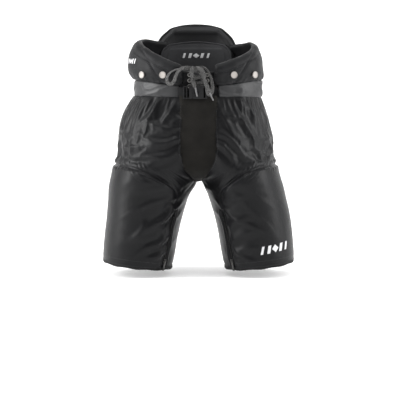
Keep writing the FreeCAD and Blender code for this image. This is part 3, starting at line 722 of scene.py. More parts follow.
def sinkZipper(co, side):
    joint = jointNamed["zip_pull_swing_" + side]
    slide = Vector(jointNamed["zip_slide_" + side]["axis"])
    pivot = np.array(joint["pos_m"])
    across = Vector(joint["axis"])
    outward = np.array(across.cross(-slide))
    across = np.array(across)
    along = -np.array(slide)
    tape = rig.box("zipper_tape_" + side)
    rel = co - pivot
    s, c, h = rel @ along, rel @ across, rel @ outward
    length = (tape[1][2] - tape[0][2]) / abs(along[2])
    inReach = smoothStep(-length - 0.012, -length - 0.002, s) * (np.abs(h) < 0.03)
    want = -zipLine["tapeDepth"] - h
    share = smoothStep(zipLine["lip"], zipLine["halfTape"], np.abs(c)) * inReach
    welt = 0.0016 * np.exp(-((np.abs(c) - zipLine["lip"] - 0.001) / 0.0022) ** 2) * inReach
    return co + outward[None, :] * (share * want + welt)[:, None]


def makeShell(side):
    detail, g = shellDetail[side], garment
    rows = g["hipRows"] + g["legRows"]
    piece = gridPiece("garment_shell_" + side, g["columns"], rows, lambda u, v: sideSurface(u, v),
                      mirrored=side == "right")
    uv = uvOf(piece)
    co, normals = pointsOf(piece), normalsOf(piece)
    inside, below, _ = panelDepth(co)
    base = co.copy()
    base[:, 0] = np.abs(base[:, 0])
    co += normals * (shellFolds(base, uv, detail["seed"]) + foldStrokes(co, frontFolds[side]))[:, None]
    setPoints(piece, co)
    u, v = uv[:, 0], uv[:, 1]
    edge = np.minimum(u, 1 - u)
    held = np.maximum.reduce([smoothStep(0.006, 0.001, edge), smoothStep(0.02, 0.004, v),
                              smoothStep(0.98, 0.995, v),
                              smoothStep(0.006, 0.002, np.abs(inside)) * 0.9])
    hips = smoothStep(0.005, -0.02, below)
    held = np.maximum(held, 0.12 + 0.30 * (1 - hips))
    settleCloth(piece, held, np.clip(0.9 * hips + 0.12, 0, 1), shellCloth)
    subdivide(piece)
    co, normals, uv = pointsOf(piece), normalsOf(piece), uvOf(piece)
    co += normals * seamProfile(co, uv, detail["seed"])[:, None]
    co[:, 0] += leanOf(co, -1)
    setPoints(piece, co)
    setPoints(piece, sinkZipper(pointsOf(piece), side))
    piece.data.materials.append(shellNylon)
    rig.slot(piece, "shell_nylon")
    replaced = ["hip_shell_", "thigh_shell_", "inner_leg_panel_", "thigh_guard_", "front_thigh_pad_",
                "outer_thigh_pad_", "rear_thigh_pad_", "hip_pad_"]
    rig.replaces(piece, *[name + side for name in replaced])
    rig.blend(piece, "root", "leg_" + side, **legBend(side))
    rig.padded(piece, fill=0.6)
    return piece


def uvOf(piece):
    uv = np.zeros((len(piece.data.vertices), 2))
    layer = piece.data.uv_layers["cloth"].data
    for loop in piece.data.loops:
        uv[loop.vertex_index] = layer[loop.index].uv
    return uv


# fabric turns with the leg along a slanting band, so the belt and the centre strip stay still
bend = {"toSide": 1.2, "down": 1.0, "starts": 0.230, "ends": 0.400}


def legBend(side):
    way = Vector((bend["toSide"] * (1 if side == "left" else -1), 0, -bend["down"]))
    unit = way / way.length_squared
    return {"start": unit * bend["starts"], "end": unit * bend["ends"]}


shells = {side: makeShell(side) for side in ("left", "right")}
print("garment shells sewn")

liner = {"columns": 96, "rows": 70, "wobble": 0.0025}


def makeLiner(side):
    def place(u, v):
        depth = 0.013 + 0.006 * smoothStep(0.30, 0.5, v)
        return sideSurface(u, 0.004 + v * 0.992, depth=depth, edges=centreEdge)
    piece = gridPiece("lining_" + side, liner["columns"], liner["rows"], place, mirrored=side == "right")
    co, normals = pointsOf(piece), normalsOf(piece)
    uv = uvOf(piece)
    free = smoothStep(0, 0.04, np.minimum(uv[:, 0], 1 - uv[:, 0]))
    co += normals * (liner["wobble"] * free * noiseField(co[:, 0] / 0.05 + co[:, 1] / 0.03, co[:, 2] / 0.04,
                                                         5.5))[:, None]
    co[:, 0] += leanOf(co, -1)
    setPoints(piece, co)
    bm = bmesh.new()
    bm.from_mesh(piece.data)
    bmesh.ops.reverse_faces(bm, faces=bm.faces[:])
    bm.to_mesh(piece.data)
    bm.free()
    piece.data.materials.append(linerKnit)
    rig.slot(piece, "liner_cloth")
    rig.replaces(piece, "leg_liner_" + side)
    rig.blend(piece, "root", "leg_" + side, **legBend(side))
    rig.padded(piece, fill=0.3)


for side in ("left", "right"):
    makeLiner(side)

hem = {"height": 0.0080, "stand": 0.0004, "round": 0.0034, "thickness": 0.0205}


# the hem's edge is bound with tape: down the outside, under the edge and up the inside
def makeHem(side):
    path = hemSection()

    def place(u, v):
        depth = np.interp(v, path[:, 0], path[:, 1])
        rise = np.interp(v, path[:, 0], path[:, 2])
        co = sideSurface(u, np.full_like(v, 1.0), depth=0.0, edges=centreEdge)
        inner = sideSurface(u, np.full_like(v, 1.0), depth=hem["thickness"], edges=centreEdge)
        share = (depth / hem["thickness"])[:, None]
        co = co * (1 - share) + inner * share
        co[:, 2] += rise
        pucker = 0.0005 * np.sin(u * 420) + 0.0008 * np.sin(u * 61 + 2)
        co[:, 2] += pucker * (rise < 0.004)
        return co
    piece = gridPiece("hem_tape_" + side, 170, 26, place, mirrored=side == "right", joined=True)
    piece.data.materials.append(bindingTape)
    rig.slot(piece, "binding_tape")
    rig.replaces(piece, "hem_binding_" + side)
    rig.ride(piece, "leg_" + side)
    return piece


def hemSection():
    r, t, h = hem["round"], hem["thickness"], hem["height"]
    out = [(-hem["stand"], h), (-hem["stand"], r)]
    for k in range(1, 7):
        a = math.pi / 2 * k / 6
        out.append((-hem["stand"] + r * (1 - math.cos(a)), r - r * math.sin(a)))
    for k in range(0, 7):
        a = math.pi / 2 * k / 6
        out.append((t - r + r * math.sin(a), r - r * math.cos(a)))
    out.append((t, h * 0.8))
    out = np.array(out)
    run = np.concatenate([[0], np.cumsum(np.linalg.norm(np.diff(out, axis=0), axis=1))])
    return np.column_stack([run / run[-1], out[:, 0], out[:, 1] - 0.006])


for side in ("left", "right"):
    makeHem(side)
print("lining and hems sewn")

# the ribbed stretch strip runs from the front of the belt, under the crotch, to the back of the belt
gussetPath = ((0.00, -0.1165, -0.016), (0.045, -0.1285, -0.058), (0.095, -0.1345, -0.107),
              (0.146, -0.1325, -0.158),
              (0.181, -0.1190, -0.190), (0.226, -0.0820, -0.2165), (0.31, 0.0, -0.2325),
              (0.40, 0.0880, -0.2165),
              (0.450, 0.1290, -0.190), (0.485, 0.1440, -0.158), (0.536, 0.1455, -0.107),
              (0.587, 0.1350, -0.058),
              (0.635, 0.1175, -0.016))
gussetWidth = ((0.00, 0.040), (0.095, 0.043), (0.146, 0.045), (0.181, 0.036), (0.226, 0.016), (0.31, 0.006),
               (0.40, 0.016), (0.450, 0.033), (0.485, 0.040), (0.536, 0.041), (0.635, 0.034))


def makeGusset():
    def place(u, v):
        run = v * gussetPath[-1][0]
        side = (u - 0.5) * 2
        half = smoothTable(gussetWidth, run) + 0.006
        x = side * half
        y, z = smoothTable(gussetPath, run, 1), smoothTable(gussetPath, run, 2)
        below = smoothStep(0.15, 0.31, run) * smoothStep(0.47, 0.31, run)
        sag = 0.0035 * noiseField(x / 0.03, run / 0.03, 2.2) * (0.3 + below)
        edge = smoothStep(0.72, 1.0, np.abs(side))
        pucker = edge * 0.0014 * np.sin(run * 780 + 1.7 * np.sin(run * 90))
        tuck = -0.0045 * smoothStep(0.84, 1.0, np.abs(side))
        out = sag + pucker + tuck + 0.002 * np.cos(side * math.pi / 2)
        outY = np.sign(y) * (1 - below)
        return np.stack([x, y + out * outY, z - out * below], axis=1)
    piece = gridPiece("centre_gusset", 44, 240, place)
    bm = bmesh.new()
    bm.from_mesh(piece.data)
    bmesh.ops.solidify(bm, geom=bm.faces[:], thickness=-0.0016)
    bmesh.ops.recalc_face_normals(bm, faces=bm.faces[:])
    bm.to_mesh(piece.data)
    bm.free()
    piece.data.materials.append(ribbedStretch)
    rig.slot(piece, "stretch_rib")
    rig.replaces(piece, "front_gusset", "rear_gusset", "tailbone_pad")
    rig.ride(piece, "root")
    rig.padded(piece, fill=0.3)


def makeRibbedStretch():
    material, shader = newMaterial("ribbed stretch", Specular_IOR_Level=0.08, Sheen_Weight=0.02,
                                   Sheen_Roughness=0.6)
    tree = material.node_tree
    place = node(tree, "ShaderNodeTexCoord")
    ribs = node(tree, "ShaderNodeTexWave", wave_type="BANDS", bands_direction="X")
    ribs.inputs["Scale"].default_value = 150.0
    ribs.inputs["Distortion"].default_value = 0.25
    ribs.inputs["Detail"].default_value = 1.0
    tree.links.new(place.outputs["Object"], ribs.inputs["Vector"])
    blotch = node(tree, "ShaderNodeTexNoise")
    blotch.inputs["Scale"].default_value = 22.0
    blotch.inputs["Detail"].default_value = 6.0
    tree.links.new(place.outputs["Object"], blotch.inputs["Vector"])
    tint = node(tree, "ShaderNodeValToRGB")
    tint.color_ramp.elements[0].position, tint.color_ramp.elements[0].color = 0.3, (0.0078, 0.0072, 0.0062, 1)
    tint.color_ramp.elements[1].position, tint.color_ramp.elements[1].color = 0.75, (0.0150, 0.0138, 0.0120,
        1)
    tree.links.new(blotch.outputs["Fac"], tint.inputs["Fac"])
    # painted shade: the colour is darkened in the rib grooves, where the same waves sink the bump
    ribGrooveShade = node(tree, "ShaderNodeMix", data_type="RGBA", blend_type="MULTIPLY")
    ribGrooveShade.inputs["Factor"].default_value = 0.45
    tree.links.new(tint.outputs["Color"], ribGrooveShade.inputs["A"])
    tree.links.new(ribs.outputs["Color"], ribGrooveShade.inputs["B"])
    tree.links.new(ribGrooveShade.outputs["Result"], shader.inputs["Base Color"])
    bump = node(tree, "ShaderNodeBump")
    bump.inputs["Strength"].default_value = 0.7
    bump.inputs["Distance"].default_value = 0.0008
    tree.links.new(ribs.outputs["Fac"], bump.inputs["Height"])
    tree.links.new(bump.outputs["Normal"], shader.inputs["Normal"])
    shader.inputs["Roughness"].default_value = 0.78
    return material


ribbedStretch = makeRibbedStretch()
makeGusset()
print("centre strip sewn")

# rows of the waist pads' outer face: height, half-width, half-depth
kidneyFace = ((0.020, 0.165, 0.118), (0.040, 0.173, 0.1245), (0.070, 0.173, 0.1255), (0.100, 0.166, 0.120),
              (0.118, 0.158, 0.114), (0.135, 0.148, 0.107))
kidneyTop = ((-0.125, 0.058), (-0.103, 0.080), (-0.076, 0.097), (-0.045, 0.110), (0.0, 0.120), (0.045, 0.124),
             (0.100, 0.118))
kidneyFoot = ((-0.125, 0.008), (-0.098, 0.014), (-0.060, 0.0205), (0.0, 0.0225), (0.1, 0.0225))
kidney = {"thick": 0.021, "frontX": 0.042, "backX": 0.094, "columns": 110, "around": 64, "roll": 0.0105,
          "seamDepth": 0.0022, "seed": {"left": 1.3, "right": 6.1},
          "lean": {"left": (-0.014, -0.006), "right": (-0.003, 0.002)}}


# a closed loop round the pad's section: up the outer face, over the roll, down the lining, along the foot
def padSection(w, foot, top, thick, roll):
    height = top - foot
    r = np.minimum(roll, height * 0.45)
    rf = 0.004
    runs = [height - r - rf, math.pi / 2 * r, np.maximum(thick - 2 * r, 0.0002), math.pi / 2 * r,
            height - r - rf,
            math.pi / 2 * rf, thick - 2 * rf, math.pi / 2 * rf]
    runs = [np.broadcast_to(np.asarray(k, float), w.shape) for k in runs]
    total = sum(runs)
    s = w * total
    depth = np.zeros_like(w)
    z = np.zeros_like(w)
    begin = np.zeros_like(w)
    for k, run in enumerate(runs):
        here = (s >= begin - 1e-12) & (s <= begin + run + 1e-12)
        t = np.clip((s - begin) / run, 0, 1)
        a = t * math.pi / 2
        if k == 0:
            across, rise = 0 * t, foot + rf + t * run
        elif k == 1:
            across, rise = r * (1 - np.cos(a)), top - r + r * np.sin(a)
        elif k == 2:
            across, rise = r + t * run, top + 0 * t
        elif k == 3:
            across, rise = thick - r + r * np.sin(a), top - r + r * np.cos(a)
        elif k == 4:
            across, rise = thick + 0 * t, top - r - t * run
        elif k == 5:
            across, rise = thick - rf * (1 - np.cos(a)), foot + rf - rf * np.sin(a)
        elif k == 6:
            across, rise = thick - rf - t * run, foot + 0 * t
        else:
            across, rise = rf * (1 - np.sin(a)), foot + rf * (1 - np.cos(a))
        depth = np.where(here, across, depth)
        z = np.where(here, rise, z)
        begin = begin + run
    return depth, z


def ovalPoint(t, z, face, depth):
    a = smoothTable(face, z, 1) - depth
    b = smoothTable(face, z, 2) - depth
    return a * np.cos(t), b * np.sin(t)


def makeKidneyPad(side):
    k = kidney
    first = -math.acos(k["frontX"] / kidneyFace[1][1])
    last = math.acos(k["backX"] / kidneyFace[1][1])

    def place(u, w):
        t = first + (last - first) * u
        y = kidneyFace[1][2] * np.sin(t)
        top, foot = smoothTable(kidneyTop, y), smoothTable(kidneyFoot, y)
        end = np.minimum(u / 0.055, (1 - u) / 0.04)
        rounding = np.sqrt(np.clip(1 - (1 - np.clip(end, 0, 1)) ** 2, 0.0, 1))
        depth, z = padSection(w, foot, top, k["thick"], k["roll"])
        middle, mid = k["thick"] / 2, (top + foot) / 2
        depth = middle + (depth - middle) * (0.25 + 0.75 * rounding)
        z = mid + (z - mid) * (0.86 + 0.14 * rounding)
        share = np.clip((z - foot) / (top - foot), 0, 1)
        puff = 0.0032 * np.sin(share * math.pi) * (depth < middle)
        x, y = ovalPoint(t, z, kidneyFace, depth - puff)
        return np.stack([x, y, z], axis=1)
    piece = gridPiece("kidney_cover_" + side, k["columns"], k["around"], place, mirrored=side == "right",
                      joined=True,
                      closeEnds=True)
    co, normals = pointsOf(piece), normalsOf(piece)
    x, y, z = np.abs(co[:, 0]), co[:, 1], co[:, 2]
    seed = k["seed"][side]
    lift = 0.0012 * noiseField(np.arctan2(y, x) / 0.16, z / 0.03, seed)
    lift += 0.0014 * ridges(np.arctan2(y, x) / 0.13, z / 0.02, seed + 3, 1.5) * smoothStep(0.055, 0.03, z)
    # sewn lines: under the roll, and a slanting one on the front
    rollLine = smoothTable(kidneyTop, y) - 0.019
    slant = 0.100 + (z - 0.03) * 0.62
    front = smoothStep(-0.02, -0.05, y)
    outerFace = (normals[:, 0] * co[:, 0] + normals[:, 1] * co[:, 1]) > 0
    lift -= k["seamDepth"] * np.exp(-((z - rollLine) / 0.0028) ** 2) * outerFace * smoothStep(0.0, -0.06, y)
    lift -= 0.0026 * np.exp(-((x - slant) / 0.003) ** 2) * front * outerFace
    co += normals * lift[:, None]
    way, drop = k["lean"][side]
    high = smoothStep(0.010, 0.060, z)
    co[:, 0] += way * high * smoothStep(0.100, 0.190, x) * smoothStep(-0.095, -0.030, y)
    co[:, 2] += drop * smoothStep(0.060, 0.110, z)
    setPoints(piece, co)
    subdivide(piece)
    piece.data.materials.append(padNylon)
    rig.slot(piece, "pad_cover")
    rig.replaces(piece, "kidney_pad_" + side, "hip_guard_" + side)
    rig.ride(piece, "root")
    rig.padded(piece, fill=0.7)
    return piece


for side in ("left", "right"):
    makeKidneyPad(side)
print("kidney pads sewn")

# the back pad: a stuffed shape with bound edges, and a lumbar panel in front of it
backFace = ((-0.040, 0.170, 0.124), (0.024, 0.172, 0.126), (0.090, 0.171, 0.129), (0.160, 0.166, 0.131))
backOutline = ((0.018, 0.100), (0.060, 0.1025), (0.090, 0.1015), (0.112, 0.0975), (0.128, 0.0885),
               (0.142, 0.0740),
               (0.152, 0.059), (0.1570, 0.040))
panelOutline = ((-0.020, 0.086), (0.040, 0.090), (0.078, 0.0905), (0.096, 0.086), (0.106, 0.077),
                (0.1125, 0.062),
                (0.1150, 0.043))
backPad = {"depth": 0.002, "thick": 0.023, "edge": 0.0055, "columns": 90, "rows": 60}
lumbar = {"depth": 0.0262, "thick": 0.0085, "edge": 0.0035, "columns": 80, "rows": 60}


backShift = -0.006                                    # the back pad sits a little off centre


# both faces of a pad over an outline given as height and half-width; they meet in a thin rim
def outlinePad(name, outline, size, shape=None):
    lowZ, highZ = outline[0][0], outline[-1][0]

    def face(inside):
        def place(u, v):
            s = (u - 0.5) * 2
            s = np.sin(s * math.pi / 2) * 0.35 + s * 0.65
            rows = 1 - v
            rows = rows * 0.6 + np.sin(rows * math.pi / 2) * 0.4
            z = lowZ + (highZ - lowZ) * rows
            half = smoothTable(outline, z)
            x = s * half
            edgeGap = np.minimum((1 - np.abs(s)) * half, (highZ - z) * 1.2 + (z < lowZ) * 0 + 0.0)
            edgeGap = np.minimum(edgeGap, (z - lowZ) + 0.012)
            fill = 1 - (1 - np.clip(edgeGap / 0.020, 0, 1)) ** 2.4
            z = z + 0.0035 * (1 - (x / half[:].max()) ** 2) * smoothStep(highZ - 0.02, highZ, z)
            halfThick = size["edge"] / 2 + (size["thick"] - size["edge"]) / 2 * fill
            middle = size["depth"] + size["thick"] / 2
            depth = middle + halfThick if inside else middle - halfThick
            if shape is not None and inside:
                depth = depth - shape(x, z, edgeGap)
            a = smoothTable(backFace, z, 1) - depth
            b = smoothTable(backFace, z, 2) - depth
            y = b * np.sqrt(np.clip(1 - (x / a) ** 2, 0.01, 1))
            return np.stack([x + backShift, y, z], axis=1)
        return place
    outer = gridPiece(name, size["columns"], size["rows"], face(False))
    inner = gridPiece(name + "_face", size["columns"], size["rows"], face(True))
    bm = bmesh.new()
    bm.from_mesh(outer.data)
    bm.from_mesh(inner.data)
    bpy.data.objects.remove(inner)
    rims = [e for e in bm.edges if e.is_boundary]
    bmesh.ops.bridge_loops(bm, edges=rims)
    bmesh.ops.recalc_face_normals(bm, faces=bm.faces[:])
    bm.to_mesh(outer.data)
    bm.free()
    for polygon in outer.data.polygons:
        polygon.use_smooth = True
    return outer


def borderValley(x, z, edgeGap):
    # a rolled border stands round the padding, with a soft valley inside it
    roll = 0.0036 * np.exp(-((edgeGap - 0.0125) / 0.0085) ** 2)
    return -roll + 0.0030 * smoothStep(0.014, 0.048, edgeGap)


def panelCrown(x, z, edgeGap):
    dent = 0.0016 * smoothStep(0.010, 0.006, np.abs(edgeGap - 0.008))
    return dent + 0.0008 * noiseField(x / 0.05, z / 0.05, 4.0)


backCover = outlinePad("back_cover", backOutline, backPad, shape=borderValley)
# the back cover takes the lighter copy of the pad nylon, whose raised base is painted light
backCover.data.materials.append(backNylonWithPaintedLight)
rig.slot(backCover, "pad_cover")
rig.replaces(backCover, "back_pad", "spine_guard")
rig.ride(backCover, "root")
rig.padded(backCover, fill=0.7)

lumbarPanel = outlinePad("lumbar_panel", panelOutline, lumbar, shape=panelCrown)
lumbarPanel.data.materials.append(panelKnitWithPaintedLight)
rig.slot(lumbarPanel, "liner_cloth")
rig.replaces(lumbarPanel, "back_liner")
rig.ride(lumbarPanel, "root")
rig.padded(lumbarPanel, fill=0.5)


# a round piping or a flat tape along a line of points, as one mesh
def tubeAlong(name, points, radius, segments=10, closed=False):
    curve = bpy.data.curves.new(name, "CURVE")
    curve.dimensions = "3D"
    spline = curve.splines.new("NURBS")
    spline.points.add(len(points) - 1)
    for point, co in zip(spline.points, points):
        point.co = (*co, 1)
    spline.order_u = 3
    spline.use_endpoint_u = not closed
    spline.use_cyclic_u = closed
    curve.resolution_u = 3
    curve.bevel_depth = radius
    curve.bevel_resolution = max(1, segments // 4)
    curve.use_fill_caps = True
    holder = bpy.data.objects.new(name + "_line", curve)
    scene.collection.objects.link(holder)
    bpy.context.view_layer.update()
    mesh = bpy.data.meshes.new_from_object(holder)
    bpy.data.objects.remove(holder)
    bpy.data.curves.remove(curve)
    mesh.name = name
    for polygon in mesh.polygons:
        polygon.use_smooth = True
    piece = bpy.data.objects.new(name, mesh)
    scene.collection.objects.link(piece)
    return piece


# the rim of a pad, up one side, over the top and down the other
def rimOf(outline, size, outward=0.0, count=40, inside=0.5):
    lowZ, highZ = outline[0][0], outline[-1][0]
    side = []
    for k in range(count + 1):
        share = k / count
        z = lowZ + (highZ - lowZ) * math.sin(share * math.pi / 2)
        side.append((float(smoothTable(outline, np.array([z]))[0]) + outward * 0.8, z + outward * share))
    topHalf = side[-1][0]
    top = [(topHalf * (1 - 2 * k / 12), highZ + outward + 0.0035 * (1 - (1 - 2 * k / 12) ** 2))
           for k in range(1, 12)]
    line = [(x, z) for x, z in side] + top + [(-x, z) for x, z in reversed(side)]
    points = []
    for x, z in line:
        depth = size["depth"] + size["thick"] * inside
        a = float(smoothTable(backFace, np.array([z]), 1)[0]) - depth
        b = float(smoothTable(backFace, np.array([z]), 2)[0]) - depth
        points.append(Vector((x + backShift, b * math.sqrt(1 - (x / a) ** 2), z)))
    return points


backBinding = tubeAlong("back_binding", rimOf(backOutline, backPad, 0.0005), 0.0046)
backBinding.data.materials.append(bindingTape)
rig.slot(backBinding, "binding_tape")
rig.replaces(backBinding, "back_pad_binding")
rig.ride(backBinding, "root")
panelPiping = tubeAlong("panel_piping", rimOf(panelOutline, lumbar, 0.0004, inside=0.62), 0.0019)
panelPiping.data.materials.append(pipingCord)
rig.slot(panelPiping, "liner_cloth")
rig.ride(panelPiping, "root")
print("back pad and lumbar panel sewn")

# the belt tunnel: a flat fabric tube round the waist, narrower and creased towards the fly
tunnel = {"thick": 0.0085, "columns": 150, "around": 30, "frontX": 0.050,
          "top": ((-0.120, 0.008), (-0.104, 0.0125), (-0.075, 0.0195), (-0.03, 0.0225), (0.0, 0.0225),
                  (0.13, 0.0225)),
          "foot": ((-0.120, -0.0215), (-0.08, -0.0215), (0.0, -0.0215), (0.13, -0.0215)),
          "seed": {"left": 2.4, "right": 7.7}}


def makeTunnel(side):
    k = tunnel
    first = -math.acos(k["frontX"] / waistHalfWidth)

    def place(u, w):
        t = first + (math.pi / 2 - first) * u
        y = waistHalfDepth * np.sin(t)
        top, foot = smoothTable(k["top"], y), smoothTable(k["foot"], y)
        end = np.clip(u / 0.03, 0, 1)
        squeeze = 0.55 + 0.45 * np.sqrt(end)
        depth, z = padSection(w, foot, top, k["thick"], 0.0035)
        middle = (top + foot) / 2
        z = middle + (z - middle) * (0.93 + 0.07 * end)
        depth = k["thick"] / 2 + (depth - k["thick"] / 2) * squeeze
        a, b = waistHalfWidth - depth, waistHalfDepth - depth
        share = np.clip((z - foot) / (top - foot), 0, 1)
        seed = k["seed"][side]
        arc = (t - first) * 0.14
        crease = ridges(arc / 0.055 + share * 0.7, share / 0.55 + arc / 0.25, seed, 1.3)
        near = np.exp(-arc / 0.075)
        bulge = (0.0036 + 0.0020 * near) * crease + 0.0014 * np.sin(share * math.pi)
        bulge = bulge * (depth < k["thick"] / 2) * np.sin(share * math.pi) ** 0.5
        return np.stack([(a + bulge) * np.cos(t), (b + bulge) * np.sin(t), z], axis=1)
    piece = gridPiece("belt_tunnel_fabric_" + side, k["columns"], k["around"], place,
                      mirrored=side == "right",
                      joined=True, closeEnds=True)
    subdivide(piece)
    piece.data.materials.append(satinNylon)
    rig.slot(piece, "satin_nylon")
    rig.replaces(piece, "belt_tunnel_" + side)
    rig.ride(piece, "root")
    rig.padded(piece, fill=0.4)


for side in ("left", "right"):
    makeTunnel(side)
print("belt tunnel sewn")

# moulded and cast parts: fine grain, a slightly worn look, and roughness that varies
def makeMouldGroup():
    group = bpy.data.node_groups.new("mouldLook", "ShaderNodeTree")
    face = group.interface
    for name, kind, value in (("Vector", "NodeSocketVector", None),
                              ("Base", "NodeSocketColor", (0.02, 0.02, 0.02, 1)),
                              ("Worn", "NodeSocketColor", (0.06, 0.06, 0.06, 1)),
                              ("Wear", "NodeSocketFloat", 0.3),
                              ("Roughness", "NodeSocketFloat", 0.4), ("Grain", "NodeSocketFloat", 1800.0),
                              ("Depth", "NodeSocketFloat", 0.2)):
        socket = face.new_socket(name=name, in_out="INPUT", socket_type=kind)
        if value is not None:
            socket.default_value = value
    for name, kind in (("Color", "NodeSocketColor"), ("Roughness", "NodeSocketFloat"),
                       ("Normal", "NodeSocketVector")):
        face.new_socket(name=name, in_out="OUTPUT", socket_type=kind)
    given, out = node(group, "NodeGroupInput"), node(group, "NodeGroupOutput")
    link = group.links.new
    grain = node(group, "ShaderNodeTexNoise")
    grain.inputs["Detail"].default_value = 2.0
    link(given.outputs["Vector"], grain.inputs["Vector"])
    link(given.outputs["Grain"], grain.inputs["Scale"])
    patches = node(group, "ShaderNodeTexNoise")
    patches.inputs["Scale"].default_value = 220.0
    patches.inputs["Detail"].default_value = 5.0
    link(given.outputs["Vector"], patches.inputs["Vector"])
    edges = node(group, "ShaderNodeNewGeometry")
    worn = node(group, "ShaderNodeMapRange")
    worn.inputs["From Min"].default_value, worn.inputs["From Max"].default_value = 0.5, 0.62
    link(edges.outputs["Pointiness"], worn.inputs["Value"])
    spotted = node(group, "ShaderNodeMath", operation="MULTIPLY")
    link(worn.outputs["Result"], spotted.inputs[0])
    link(patches.outputs["Fac"], spotted.inputs[1])
    share = node(group, "ShaderNodeMath", operation="MULTIPLY_ADD")
    link(patches.outputs["Fac"], share.inputs[0])
    link(given.outputs["Wear"], share.inputs[1])
    link(spotted.outputs["Value"], share.inputs[2])
    tint = node(group, "ShaderNodeMix", data_type="RGBA")
    link(share.outputs["Value"], tint.inputs["Factor"])
    link(given.outputs["Base"], tint.inputs["A"])
    link(given.outputs["Worn"], tint.inputs["B"])
    link(tint.outputs["Result"], out.inputs["Color"])
    rough = node(group, "ShaderNodeMath", operation="MULTIPLY_ADD")
    link(patches.outputs["Fac"], rough.inputs[0])
    rough.inputs[1].default_value = 0.2
    link(given.outputs["Roughness"], rough.inputs[2])
    link(rough.outputs["Value"], out.inputs["Roughness"])
    bump = node(group, "ShaderNodeBump")
    bump.inputs["Distance"].default_value = 0.0002
    link(given.outputs["Depth"], bump.inputs["Strength"])
    link(grain.outputs["Fac"], bump.inputs["Height"])
    link(bump.outputs["Normal"], out.inputs["Normal"])
    return group


mouldLook = makeMouldGroup()


def mouldMaterial(name, base, worn, roughness, metal=0.0, specular=0.5, **look):
    material, shader = newMaterial(name, Metallic=metal, Specular_IOR_Level=specular)
    tree = material.node_tree
    place = node(tree, "ShaderNodeTexCoord")
    mould = node(tree, "ShaderNodeGroup", node_tree=mouldLook)
    mould.inputs["Base"].default_value = (*base, 1)
    mould.inputs["Worn"].default_value = (*worn, 1)
    mould.inputs["Roughness"].default_value = roughness
    for socket, value in look.items():
        mould.inputs[socket].default_value = value
    tree.links.new(place.outputs["Object"], mould.inputs["Vector"])
    for socket, target in (("Color", "Base Color"), ("Roughness", "Roughness"), ("Normal", "Normal")):
        tree.links.new(mould.outputs[socket], shader.inputs[target])
    return material


bucklePlastic = mouldMaterial("buckle plastic", (0.006, 0.006, 0.0065), (0.02, 0.02, 0.021), 0.36,
                              specular=0.2, Wear=0.3)
buttonPlastic = mouldMaterial("button plastic", (0.40, 0.37, 0.345), (0.26, 0.24, 0.225), 0.34, Wear=0.5,
                              Depth=0.1)
agletPlastic = mouldMaterial("aglet plastic", (0.085, 0.085, 0.088), (0.20, 0.20, 0.20), 0.25, Wear=0.4)
eyeletMetal = mouldMaterial("eyelet metal", (0.05, 0.05, 0.052), (0.4, 0.39, 0.37), 0.35, metal=0.85,
                            Wear=0.25)
zipCoil = mouldMaterial("zip coil", (0.007, 0.007, 0.0075), (0.03, 0.03, 0.03), 0.4, specular=0.2, Wear=0.3)
zipMetal = mouldMaterial("zip slider", (0.030, 0.030, 0.032), (0.22, 0.215, 0.205), 0.38, metal=0.8,
                         Wear=0.25)
zipTape = clothMaterial("zip tape", (0.006, 0.006, 0.0063), 0.6, specular=0.12, Weave=0.9, Thread=600.0)
printInk = mouldMaterial("printed mark", (0.66, 0.66, 0.67), (0.46, 0.46, 0.47), 0.5, Wear=0.35, Depth=0.5)


# the lace is a flat braid of grey and black yarns
def makeLaceMaterial():
    material, shader = newMaterial("lace braid", Specular_IOR_Level=0.2, Roughness=0.6, Sheen_Weight=0.05)
    tree = material.node_tree
    link = tree.links.new
    place = node(tree, "ShaderNodeTexCoord")
    yarns = node(tree, "ShaderNodeTexNoise")
    yarns.inputs["Scale"].default_value = 850.0
    yarns.inputs["Detail"].default_value = 2.0
    link(place.outputs["Object"], yarns.inputs["Vector"])
    tint = node(tree, "ShaderNodeValToRGB")
    tint.color_ramp.elements[0].position, tint.color_ramp.elements[0].color = 0.42, (0.010, 0.010, 0.0105, 1)
    tint.color_ramp.elements[1].position, tint.color_ramp.elements[1].color = 0.63, (0.150, 0.148, 0.145, 1)
    link(yarns.outputs["Fac"], tint.inputs["Fac"])
    link(tint.outputs["Color"], shader.inputs["Base Color"])
    strands = []
    for tilt in (1, -1):
        turned = node(tree, "ShaderNodeMapping")
        turned.inputs["Rotation"].default_value = (0, math.radians(45 * tilt), 0)
        link(place.outputs["Object"], turned.inputs["Vector"])
        wave = node(tree, "ShaderNodeTexWave", wave_type="BANDS", bands_direction="X")
        wave.inputs["Scale"].default_value = 240.0
        link(turned.outputs["Vector"], wave.inputs["Vector"])
        strands.append(wave)
    both = node(tree, "ShaderNodeMath", operation="MAXIMUM")
    link(strands[0].outputs["Fac"], both.inputs[0])
    link(strands[1].outputs["Fac"], both.inputs[1])
    bump = node(tree, "ShaderNodeBump")
    bump.inputs["Strength"].default_value = 0.8
    bump.inputs["Distance"].default_value = 0.0005
    link(both.outputs["Value"], bump.inputs["Height"])
    link(bump.outputs["Normal"], shader.inputs["Normal"])
    return material


laceBraid = makeLaceMaterial()

# CAD parts that keep their shape get their finish here
finishes = {
    "suspender_buttons_front": buttonPlastic, "suspender_buttons_rear": buttonPlastic,
    "buckle_socket": bucklePlastic,
    "buckle_clip": bucklePlastic, "buckle_prong_upper": bucklePlastic, "buckle_prong_lower": bucklePlastic,
    "lace_eyelets": eyeletMetal,
}
for side in ("left", "right"):
    finishes["zipper_teeth_" + side] = zipCoil
    finishes["zipper_tape_" + side] = zipTape
    finishes["zipper_slider_" + side] = zipMetal
    finishes["zipper_pull_" + side] = zipMetal
for name, material in finishes.items():
    part = frame["nodes"][name]
    for slot in part.material_slots:
        slot.material = material
print("hardware finished")


